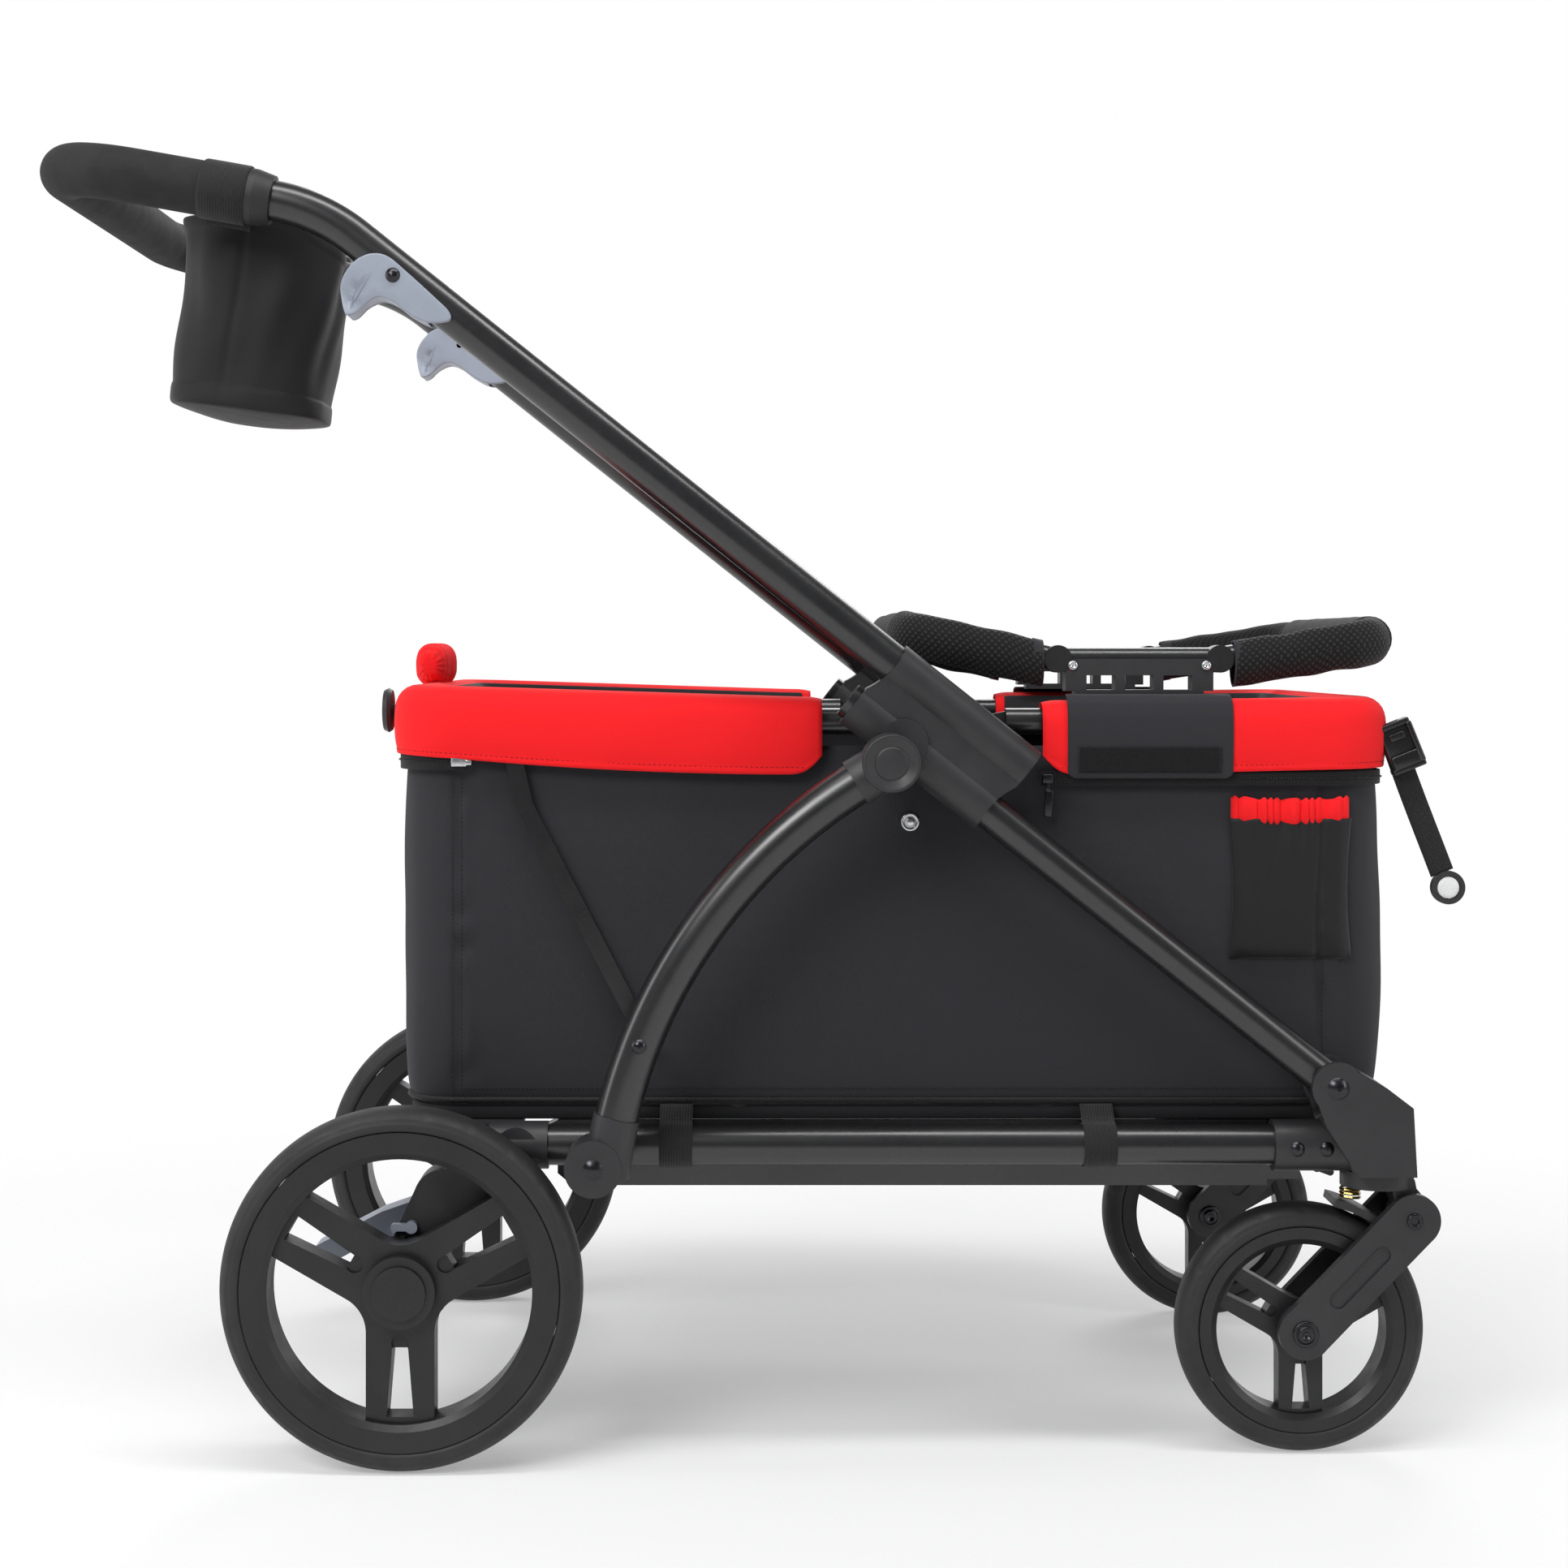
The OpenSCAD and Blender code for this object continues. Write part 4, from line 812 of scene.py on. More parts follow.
roll = gathered_roll("rim_roll", (-286.0, 0.0, 645.5), 116.0, 16.0, 20.5, 11, 5)
dress(roll, red_cloth, "rear_rail")
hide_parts("headrest_roll")
print("gathered roll:", len(roll.data.polygons), "faces")

# %% [markdown]
# ## Cup holder bag
# A nylon bag hangs inside the right end of the grip. It is a tube of cloth with a sewn-in bottom, so its
# walls drop in long soft folds, the bottom seam stands out as a stiff band, and the base sags below it. The
# rim runs level under the grip and then falls along the handle tube. The loft goes down the outside, round
# the band and in to the middle of the bottom; then the sheet gets its thickness. Each fold is a ridge that
# wanders as it goes down, drawn by a smooth bump across the angle, because noise alone would look like a
# dented can.

# %% Cup holder bag
BAG_Y = -159.5
# where a fold starts and ends round the bag, in degrees, how wide it is and how far it stands out
BAG_FOLDS = ((-28, -62, 11, 5.5), (-8, -40, 9, -4.0), (-58, -84, 12, 3.5), (-148, -128, 13, -3.5),
             (-172, -160, 10, 3.0), (30, 62, 14, 5.0), (95, 80, 16, 4.0), (140, 160, 13, -4.0),
             (-101, -104, 2.6, -2.2))


def bag_row(share, squeeze=1.0, drop=0.0, folds=1.0):
    """One ring of the bag at a share of its depth."""
    angles = turn_angles(120)
    cos, sin = np.cos(angles), np.sin(angles)
    middle_x = -404.0 - 21.0 * share
    shape = squared_round(angles, 2.3 + 0.9 * share)
    stand = np.zeros(120)
    degrees = np.degrees(np.arctan2(sin, cos))
    for first, last, wide, out in BAG_FOLDS:
        away = (degrees - (first + (last - first) * share) + 180) % 360 - 180
        depth = math.sin(math.pi * min(1.0, 0.12 + 0.86 * share)) ** 0.7
        stand += out * np.exp(-((away / wide) ** 2)) * depth
    flare = 13.0 * math.exp(-share / 0.14) * np.clip(-cos, 0, 1) ** 3
    wave = 1.6 * soft_noise(np.stack([46 * cos, 46 * sin, np.full(120, 90 * share)], 1), 40, 21)
    top = 1025.0 - 36.0 * np.clip((cos - 0.1) / 0.9, 0, 1) ** 1.6 - 2.0 * np.abs(sin)
    bottom = 864.0 - 9.0 * cos * min(1.0, squeeze)
    reach = shape * squeeze + (stand + wave + flare) * folds / 63.0
    height = top + (bottom - top) * share - drop
    return np.stack([middle_x + 63.5 * reach * cos, BAG_Y + 58.0 * reach * sin, height], 1)


BAG_HEM = ((0.03, 0.97), (0, 0.985), (0, 1.0), (0.03, 1.012), (0.065, 1.012), (0.075, 0.998))
BAG_BAND = ((0.915, 1.0), (0.925, 1.022), (0.96, 1.026), (1, 1.03), (1, 1.025, 3.0), (1, 0.99, 3.6))
bag_rows = [bag_row(*ring) for ring in BAG_HEM]
bag_rows += [bag_row(share) for share in np.linspace(0.1, 0.9, 30)]
bag_rows += [bag_row(*ring) for ring in BAG_BAND]
for squeeze in (0.95, 0.85, 0.7, 0.52, 0.34, 0.16, 0.02):
    bag_rows.append(bag_row(1, squeeze, 3.6 + 9.0 * (1 - squeeze ** 2), squeeze))
cup_bag = thicken(lofted("cup_bag", bag_rows, closed=True), 1.3, offset=-1.0)
dress(cup_bag, bag_cloth, "handle")
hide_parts("cup_holder")
print("cup bag:", len(cup_bag.data.polygons), "faces")

# %% [markdown]
# ## Webbing
# Webbing is a flat woven ribbon. Swept as a thin rounded bar along a path, it needs only the path and the
# direction of its width. The same helper makes the strap that holds the cup bag, the loops that hold the
# basket's floor to the side tubes, and the pull strap at the front corner.

# %% Webbing helper
def ribbon(name, path, width_way, width, thickness):
    path = np.asarray(path, float)
    run = directions(path)
    wide = np.broadcast_to(np.asarray(width_way, float), path.shape)
    wide = wide / np.linalg.norm(wide, axis=1)[:, None]
    face = np.cross(run, wide)
    corners = [(-0.5, -0.2), (-0.5, 0.2), (-0.47, 0.5), (-0.16, 0.55), (0.16, 0.55), (0.47, 0.5),
               (0.5, 0.2), (0.5, -0.2), (0.47, -0.5), (0.16, -0.55), (-0.16, -0.55), (-0.47, -0.5)]
    rows = [[p + w * width * a + f * thickness * b for a, b in corners] for p, w, f in zip(path, wide, face)]
    return solid(name, rows)


def arc(centre, radius, start, end, count, x):
    """Points on an arc in degrees, in the upright plane across the wagon at x."""
    angles = np.radians(np.linspace(start, end, count))
    return [(x, centre[0] + radius * math.cos(a), centre[1] + radius * math.sin(a)) for a in angles]


print("webbing helper is ready")

# %% [markdown]
# ## Floor loops and bag strap
# Two webbing loops on each side hold the basket's floor to the side tube. Seen from the end, a loop drops
# from the basket's edge, runs round the outside of the tube and comes back up behind it. The cup bag's
# strap is drawn in the same way about the foam, then turned to the slope of the grip.

# %% Floor loops and bag strap
SIDE_Y, SIDE_Z, TUBE_R = 240.0, 253.0, 16.5
for x in (-61.5, 286.0):
    for side in (RIGHT, LEFT):
        loop = [(x, 219.5, 283.0), (x, 224.0, 281.5), (x, 229.0, 277.0)]
        loop += arc((SIDE_Y, SIDE_Z), TUBE_R + 1.2, 100, -170, 26, x)
        loop += [(x, 222.6, 262.0), (x, 222.8, 268.0)]
        loop = np.array(loop) * (1, side, 1)
        strap = ribbon(side_name(f"floor_loop_{int(x) + 62}", side), loop, (1, 0, 0), 27.0, 1.5)
        dress(strap, black_webbing, "chassis")

GRIP_START, GRIP_SLOPE, GRIP_Y, FOAM_R = (-389.75, 1026.92), math.radians(10), 250.0, 22.5


def on_grip(back, y, up):
    """A point behind the bend, measured along the grip's slope."""
    cos, sin = math.cos(GRIP_SLOPE), math.sin(GRIP_SLOPE)
    return (GRIP_START[0] - back * cos + up * sin, y, GRIP_START[1] + back * sin + up * cos)


STRAP_R = FOAM_R + 1.3
loop = [(GRIP_Y + STRAP_R * math.cos(a), STRAP_R * math.sin(a))
        for a in np.radians(np.linspace(-175, 182, 40))]
tail = [(225.4, -6.0), (224.4, -13.0), (222.8, -19.0), (221.2, -25.0)]
bag_strap = ribbon("cup_bag_strap", [on_grip(40.0, -y, up) for y, up in loop + tail],
                   (-math.cos(GRIP_SLOPE), 0, math.sin(GRIP_SLOPE)), 38.0, 1.6)
dress(bag_strap, black_webbing, "handle")
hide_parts("cup_straps")

# %% [markdown]
# ## Moulded blocks
# Buckles, locks and sliders are small mouldings. Each is a few rounded boxes joined into one mesh: a box is
# sized, its edges are bevelled, and it is turned and moved into place as mesh, so that the object itself
# stays at the origin.

# %% Moulded blocks
def rounded_box(size, centre, bevel, turn):
    """A mesh of one box with rounded edges, in drawing millimetres."""
    work = bmesh.new()
    bmesh.ops.create_cube(work, size=1.0)
    bmesh.ops.scale(work, vec=Vector(size), verts=work.verts)
    bmesh.ops.bevel(work, geom=work.edges, offset=bevel, segments=3, affect="EDGES", profile=0.5)
    if turn is not None:
        bmesh.ops.transform(work, matrix=turn, verts=work.verts)
    bmesh.ops.translate(work, vec=Vector(centre), verts=work.verts)
    mesh = bpy.data.meshes.new("box")
    work.to_mesh(mesh)
    work.free()
    return mesh


def moulding(name, boxes):
    """One piece from (size, centre, bevel, turn) boxes."""
    work = bmesh.new()
    for box in boxes:
        mesh = rounded_box(*box)
        work.from_mesh(mesh)
        bpy.data.meshes.remove(mesh)
    for vertex in work.verts:
        vertex.co = place(*vertex.co)
    return face_outwards(add_object(name, bpy.data.meshes.new(name)), work)


def turned(angle):
    return Matrix.Rotation(math.radians(angle), 4, "Y")


print("block helper is ready")

# %% [markdown]
# ## Pull strap
# The strap that locks the folded wagon leaves the front right corner of the rim through a sliding lock, and
# ends in a finger ring with a pale disc. The ring is a solid of the frame; the disc drops into it.

# %% Pull strap
STRAP_LEAN, STRAP_LENGTH = 22.0, 112
lean_cos, lean_sin = math.cos(math.radians(STRAP_LEAN)), math.sin(math.radians(STRAP_LEAN))
strap_way, strap_side = np.array([lean_sin, 0, -lean_cos]), np.array([lean_cos, 0, lean_sin])
strap_top = np.array([535.63, -200.0, 578.0])
strap_path = []
for d in np.linspace(-20, 113, 48):
    sway = np.array([0, 1.5 * math.sin(d / 26), 0])
    strap_path.append(strap_top + strap_way * d + sway + strap_side * 3.0 * (1 - d / STRAP_LENGTH))
pull_strap = ribbon("pull_strap_webbing", strap_path, strap_side, 20.0, 2.2)
dress(pull_strap, black_webbing, "front_rail")
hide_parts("pull_strap")
lean = turned(-STRAP_LEAN)
lock_at = strap_top + strap_way * 2 + strap_side * 7.0
out_y = np.array([0, -1.0, 0])
strap_lock = moulding("strap_lock", [
    ((27.0, 9.0, 42.0), tuple(lock_at), 2.4, lean),
    ((25.0, 5.0, 13.0), tuple(lock_at + strap_way * 12 + out_y * 6.0), 2.0, lean),
    ((29.0, 14.0, 5.0), tuple(lock_at + strap_way * 18.5 + out_y * 1.5), 1.4, lean),
    ((29.0, 12.0, 5.0), tuple(lock_at - strap_way * 19 + out_y * 1.0), 1.5, lean),
    ((13.0, 2.4, 6.0), tuple(lock_at - strap_way * 9 + out_y * 5.0), 0.9, lean),
    ((5.0, 13.0, 36.0), tuple(lock_at + strap_side * 13.0 + out_y * 1.0), 1.8, lean),
])
dress(strap_lock, gloss_plastic, "front_rail")
ring_at = strap_top + strap_way * (STRAP_LENGTH + 14.3)
disc_rows = [[(ring_at[0] + r * math.cos(a), strap_top[1] - y, ring_at[2] + r * math.sin(a))
              for a in turn_angles(40)]
             for r, y in ((9.2, 0.6), (9.4, 2.2), (8.8, 2.9), (6.0, 3.3), (0.1, 3.4))]
ring_disc = solid("pull_ring_disc", disc_rows)
dress(ring_disc, white_plastic, "front_rail")
print("pull strap ends at", [round(v) for v in strap_path[-1]])

# %% [markdown]
# ## Flaps on the front cover
# A black flap covers each place where the adapter's bracket grips the rim. It lies on the red cover from
# the top, over the outside, and hangs past the hem, with a strip of hook tape near its lower edge. It is
# drawn as a sheet that follows the cover's section, a little proud of it.

# %% Flaps on the front cover
FLAP_SECTION = np.array([(5.2, 622.6), (15.4, 621.2), (23.0, 615.8), (26.5, 606.0), (27.3, 594.0),
                         (27.2, 583.0), (26.6, 573.0), (25.4, 562.5), (24.9, 553.6)])
FLAP_X0, FLAP_X1 = 261.0, 398.0


def flap_point(x, share, lift=0.0):
    """A point on the right flap: x along the rim, and a share of the way from its top to its lower edge."""
    index = share * (len(FLAP_SECTION) - 1)
    low = min(int(index), len(FLAP_SECTION) - 2)
    out, z = FLAP_SECTION[low] + (FLAP_SECTION[low + 1] - FLAP_SECTION[low]) * (index - low)
    wave = 0.25 * math.sin((x - FLAP_X0) / (FLAP_X1 - FLAP_X0) * 2.4 * math.pi) * share
    return (x, -(RAIL_Y + out + lift + wave), z)


def mirrored(points, side):
    return np.asarray(points, float) * (1, -side, 1)


for side in (RIGHT, LEFT):
    rows = []
    for share in np.linspace(0, 1, 30):
        tuck = 5.0 * max(0.0, (share - 0.93) / 0.07) ** 2
        rows.append([flap_point(x, share) for x in np.linspace(FLAP_X0 + tuck, FLAP_X1 - tuck, 34)])
    flap = thicken(lofted(side_name("rim_flap", side), mirrored(rows, side)), 1.2)
    dress(flap, basket_cloth, "front_rail")
    strip_rows = [[flap_point(x, share, 0.9) for x in np.linspace(270, 388, 30)]
                  for share in np.linspace(0.66, 0.93, 10)]
    strip = thicken(lofted(side_name("hook_strip", side), mirrored(strip_rows, side)), 0.9, levels=0)
    dress(strip, hook_tape, "front_rail")
print("flaps: 2, each with a hook strip")

# %% [markdown]
# ## Pieces on the basket wall
# A pocket, a snap and zips sit on the basket's outside. Each has to touch the cloth, so one function tells
# how far out the wall is at a place on the side, and another gives a point there, lifted off the cloth.

# %% Wall points
def wall_out(x, z):
    """How far the outside of the right or left basket wall is from the middle, at a place on it."""
    here = np.array([[x, -RAIL_Y, 0.0, -1.0]])
    height = (z - BASKET_FOOT) / (BASKET_TOP - BASKET_FOOT)
    return RAIL_Y + WALL_GAP + float(wall_bulge(here, min(max(height, 0.0), 1.0))[0]) + 0.8


def on_wall(x, z, side, lift=0.0):
    return (x, side * (wall_out(x, z) + lift), z)


SNAP_AT = (132, 517)
print(f"the wall is {wall_out(*SNAP_AT):.1f} mm out at the snap")

# %% [markdown]
# ## Pockets and snaps
# The pocket is a patch that swells away from the wall and is gathered at its mouth by a red elastic. The
# snap is a turned button with a ring.

# %% Pocket and snap
POCKET_X, POCKET_Z = (396.0, 497.0), (404.0, 520.0)
SNAP_SECTION = ((7.8, 0.0), (7.8, 1.4), (7.0, 2.2), (5.6, 2.2), (5.0, 1.2), (4.2, 1.0), (3.6, 2.6),
                (2.4, 3.4), (0.1, 3.6))


def pocket_lift(u, v):
    """The pocket's swell: boxed at the foot, sewn down at the sides, gathered and slack at the mouth."""
    side = min(1.0, u / 0.16, (1 - u) / 0.13)
    foot = min(1.0, v / 0.09)
    rise, fill = (math.sin(math.pi / 2 * max(share, 0.0)) ** 0.8 for share in (side, foot))
    box = 6.5 * rise * fill
    gather = 1.5 * math.sin(u * 30 + 2.2 * math.sin(u * 11)) * max(0.0, (v - 0.55) / 0.45) ** 2
    valley = math.exp(-(((u - 0.20 - 0.20 * v) / 0.06) ** 2))
    ridge = math.exp(-(((u - 0.86 + 0.13 * v) / 0.07) ** 2))
    drag = -2.0 * valley * v + 1.4 * ridge * v
    return 0.6 + box * (1 - 0.25 * v * v) + (gather + drag) * min(1.0, 4 * u, 4 * (1 - u))


for side in (RIGHT, LEFT):
    rows = []
    for v in np.linspace(0, 1, 44):
        z = POCKET_Z[0] + v * (POCKET_Z[1] - POCKET_Z[0])
        shrink = 3.5 * math.sin(math.pi * v)
        edges = POCKET_X[0] + shrink, POCKET_X[1] - shrink
        rows.append([on_wall(edges[0] + u * (edges[1] - edges[0]), z, side, pocket_lift(u, v))
                     for u in np.linspace(0, 1, 80)])
    pocket = thicken(lofted(side_name("wall_pocket", side), rows), 1.2, levels=0)
    dress(pocket, bag_cloth, "chassis")
    crumple(pocket)
    rows = []
    for v in np.linspace(0, 1, 12):
        z = 516.0 + 20.0 * v
        row = []
        for u in np.linspace(0, 1, 150):
            wander = u * 11 + 0.45 * math.sin(u * 19)
            pleat = abs(math.sin(wander * math.pi)) ** 0.55 * (math.sin(math.pi * v) ** 0.6 * 3.2 + 0.8)
            x = POCKET_X[0] + 2 + u * (POCKET_X[1] - POCKET_X[0] - 4)
            ruffle = 2.0 * math.sin(wander * math.pi * 2 + 1) * (0.5 - v)
            ruffle += 3.0 * (2 * u - 1) ** 2 * (1 - 0.3 * v)
            lift = pocket_lift(u, 1) * 0.8 + pleat * math.sin(math.pi * u) ** 0.3
            row.append(on_wall(x, z + ruffle, side, lift))
        rows.append(row)
    elastic = thicken(lofted(side_name("pocket_elastic", side), rows), 1.2, levels=0)
    dress(elastic, red_cloth, "chassis")
    crumple(elastic)
    snap_rows = []
    for r, lift in SNAP_SECTION:
        snap_rows.append([np.array(on_wall(*SNAP_AT, side, lift)) + (r * math.cos(a), 0, r * math.sin(a))
                          for a in turn_angles(32)])
    snap = solid(side_name("wall_snap", side), snap_rows)
    dress(snap, bright_steel, "chassis")
    crumple(snap)
print("pockets and snaps: 2 of each")

# %% [markdown]
# ## Adapter sleeves
# The bars of the car seat adapter wear sleeves of open mesh, which pad the seat and sag a little under the
# bars. A sleeve is a tube swept along the bar's own path with an oval section. Its ends are bound with a
# plain tape, and the front cross bar has a foam tube as well.

# %% Adapter sleeves
ADAPTER_Y, ADAPTER_Z, ADAPTER_CORNER = 200.0, 652.0, 46.0


def adapter_u(from_x, far_x, rise, start):
    """Points of one end of the adapter's ring, from the right side round to the left."""
    way = math.copysign(1, far_x - from_x)
    reach = abs(far_x - from_x)
    flat = [(d, -ADAPTER_Y) for d in np.linspace(start, reach - ADAPTER_CORNER, 16, endpoint=False)]
    bend = [(reach - ADAPTER_CORNER + ADAPTER_CORNER * math.sin(a),
             -ADAPTER_Y + ADAPTER_CORNER * (1 - math.cos(a)))
            for a in np.linspace(0, math.pi / 2, 12, endpoint=False)]
    half = ADAPTER_Y - ADAPTER_CORNER
    cross = [(reach, y) for y in np.linspace(-half, half, 32)]
    line = flat + bend + cross + [(d, -y) for d, y in reversed(flat + bend)]
    return np.array([(from_x + way * d, y, ADAPTER_Z + rise * d / reach) for d, y in line])


def sleeve_ring(point, run, wide, tall, drop):
    side = np.cross(run, (0, 0, 1.0))
    side /= np.linalg.norm(side)
    return [point + side * wide * math.cos(a) + np.array([0, 0, tall * math.sin(a) - drop])
            for a in turn_angles(24)]


def sleeve(name, path, wide, tall, drop, seed, wobble=1.2):
    run = directions(path)
    rows = np.array([sleeve_ring(p, r, wide, tall, drop) for p, r in zip(path, run)])
    centre = rows.mean(axis=1, keepdims=True)
    away = (rows - centre) / np.linalg.norm(rows - centre, axis=2)[..., None]
    rows += away * (wobble * soft_noise(rows, 42, seed))[..., None]
    return lofted(name, rows, closed=True)


rear_path = adapter_u(256.0, 131.0, 27.0, 12.0)
front_path = adapter_u(391.0, 530.0, 22.0, 12.0)
for name, path, seed in (("adapter_sleeve_rear", rear_path, 31), ("adapter_sleeve_front", front_path, 32)):
    piece = thicken(sleeve(name, path, 13.5, 18.0, 6.0, seed), 1.6, offset=-1.0)
    dress(piece, sleeve_mesh, "front_rail")
    for label, end in (("right", path[:4]), ("left", path[::-1][:4])):
        edge = sleeve(f"{name}_binding_{label}", end[:3], 14.4, 18.8, 6.0, seed, 0.2)
        binding = thicken(edge, 1.4, levels=0)
        dress(binding, basket_cloth, "front_rail")
foam_line = np.array([(530.0, y, 674.0) for y in np.linspace(-148, 148, 40)])
foam = close_holes(sleeve("adapter_foam", foam_line, 19.0, 19.4, 5.0, 33, 0.3))
dress(foam, grip_foam, "front_rail")
print("adapter sleeves: 2, with bindings and a foam tube")

# %% [markdown]
# ## Tyres
# The tyres are solid foam rubber: a round crown, a groove near the shoulder, and short notches across the
# shoulder all round. The section is turned about the axle, and the notches are pressed into it at even
# angles, so a tyre is one closed ring of mesh.

# %% Tyres
def tyre_ring(name, axle, y, radius, rim_radius, width, notches):
    half = width / 2
    turn = turn_angles(notches * 12)
    profile = []
    for a in np.linspace(-math.pi / 2, math.pi / 2, 33):
        square = squared_round(a, 2.6)
        crown = (radius - rim_radius - 3) * (1 - square * math.cos(a))
        profile.append((radius - crown, half * square * math.sin(a)))
    profile += [(rim_radius + 0.4, half - 1.5), (rim_radius + 0.2, 0.0), (rim_radius + 0.4, -half + 1.5)]
    rows = []
    for angle in turn:
        phase = (angle * notches / (2 * math.pi)) % 1.0
        cut = 1.0 if 0.36 < phase < 0.56 else 0.0
        row = []
        for r, across in profile:
            shoulder = max(0.0, 1 - ((r - (radius - 4.5)) / 3.2) ** 2)
            ring = max(0.0, 1 - ((r - (radius - 9.0)) / 1.1) ** 2) * 0.7
            press = (1.3 * cut * shoulder + ring) * (1 if abs(across) > 0.45 * half else 0)
            depth = across - math.copysign(press, across)
            row.append((axle[0] + r * math.cos(angle), y + depth, axle[1] + r * math.sin(angle)))
        rows.append(row)
    rows.append(rows[0])
    return weld(lofted(name, rows, closed=True))


REAR_TRACK_Y, CASTER_Y = 283.0, 228.0
TYRES = (("rear", REAR_AXLE, REAR_TRACK_Y, 146.0, 128.0, 43.6, 24),
         ("front", FRONT_AXLE, CASTER_Y, 102.0, 84.0, 37.6, 18))
for side in (RIGHT, LEFT):
    for end, axle, y, *sizes in TYRES:
        tyre = tyre_ring(side_name(f"{end}_tread", side), axle, side * y, *sizes)
        dress(tyre, tyre_rubber, side_name(f"{end}_wheel", side))
        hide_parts(side_name(f"{end}_tyre", side))
        print(tyre.name, len(tyre.data.polygons), "faces")

# %% [markdown]
# ## Stitches and zip teeth with Geometry Nodes
# A row of stitches is one small thread repeated along a line, and a zip is the same with teeth. That is
# what Geometry Nodes do well: the line goes in as a mesh of edges, becomes a curve, is cut into evenly
# spaced points, and a small capsule lands on each point, turned along the line. The tree has named inputs
# for spacing and size. The result is realized and kept as plain mesh.

# %% Stitch tree
def add_input(tree, name, kind, value=None):
    socket = tree.interface.new_socket(name, in_out="INPUT", socket_type=kind)
    if value is not None:
        socket.default_value = value
    return socket


def stitch_tree():
    tree = bpy.data.node_groups.new("stitches_on_a_line", "GeometryNodeTree")
    add_input(tree, "Geometry", "NodeSocketGeometry")
    add_input(tree, "Spacing", "NodeSocketFloat", 0.004)
    add_input(tree, "Size", "NodeSocketVector", (0.0004, 0.0004, 0.0016))
    add_input(tree, "Finish", "NodeSocketMaterial")
    tree.interface.new_socket("Geometry", in_out="OUTPUT", socket_type="NodeSocketGeometry")
    make = tree.nodes.new
    start, end = make("NodeGroupInput"), make("NodeGroupOutput")
    to_curve, cut = make("GeometryNodeMeshToCurve"), make("GeometryNodeCurveToPoints")
    cut.mode = "LENGTH"
    thread = make("GeometryNodeMeshIcoSphere")
    thread.inputs["Radius"].default_value = 1.0
    thread.inputs["Subdivisions"].default_value = 1
    shape, repeat = make("GeometryNodeTransform"), make("GeometryNodeInstanceOnPoints")
    realize, smooth = make("GeometryNodeRealizeInstances"), make("GeometryNodeSetShadeSmooth")
    paint = make("GeometryNodeSetMaterial")
    wire(
        tree,
        (start, "Geometry", to_curve, "Mesh"),
        (to_curve, "Curve", cut, "Curve"),
        (start, "Spacing", cut, "Length"),
        (thread, "Mesh", shape, "Geometry"),
        (start, "Size", shape, "Scale"),
        (cut, "Points", repeat, "Points"),
        (cut, "Rotation", repeat, "Rotation"),
        (shape, "Geometry", repeat, "Instance"),
        (repeat, "Instances", realize, "Geometry"),
        (realize, "Geometry", smooth, "Geometry"),
        (smooth, "Geometry", paint, "Geometry"),
        (start, "Finish", paint, "Material"),
        (paint, "Geometry", end, "Geometry"),
    )
    return tree


STITCHES = stitch_tree()


def grow(name, tree, points, edges, body, slot, turns=None, **inputs):
    """Runs a node tree on points and edges, and returns a plain mesh object that rides on a body."""
    mesh = bpy.data.meshes.new(name)
    mesh.from_pydata([place(*p) for p in points], edges, [])
    if turns:
        mesh.attributes.new("turn", "FLOAT", "POINT").data.foreach_set("value", turns)
    piece = add_object(name, mesh)
    modifier = piece.modifiers.new("grow", "NODES")
    modifier.node_group = tree
    sockets = {s.name: s.identifier for s in tree.interface.items_tree if s.in_out == "INPUT"}
    for label, value in inputs.items():
        modifier[sockets[label]] = value
    settle(piece)
    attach(piece, body)
    return piece


def stitch_row(name, lines, spacing, size, finish, body, slot):
    points, edges = [], []
    for line in lines:
        edges += [(len(points) + i, len(points) + i + 1) for i in range(len(line) - 1)]
        points += [tuple(p) for p in line]
    size = [s * MM for s in size]
    return grow(name, STITCHES, points, edges, body, slot, Spacing=spacing * MM, Size=size, Finish=finish)


def cover_seam(line, lift, hem_rise, out, z):
    """A line on a rim cover's outside, at the height of its hem seam."""
    share = (z - COVER_FOOT) / COVER_RISE
    return offset_line(line, out, z + lift * max(0.0, share) + hem_rise * (1 - share) ** 2)[2:-2]


for stem, line, lift, hem_rise in COVERS:
    seam = cover_seam(line, lift, hem_rise, 24.0, 562.6)
    hem = stitch_row(f"{stem}_cover_stitches", [seam], 4.2, (0.45, 0.45, 1.5), thread_red, f"{stem}_rail",
                     "red_cloth")
    print(f"{stem} hem stitches:", len(hem.data.polygons), "faces")

# %% [markdown]
# ## Zips and seams of the basket
# A zip closes the basket under the front cover, with a black tape, fine teeth and a hanging pull. At the
# rear corner only the last hand's breadth of its neighbour shows, with a bright slider. The wall's own
# seams are stitched: beside the corners, round the pocket and along the foot, where a piping covers the raw
# edge.

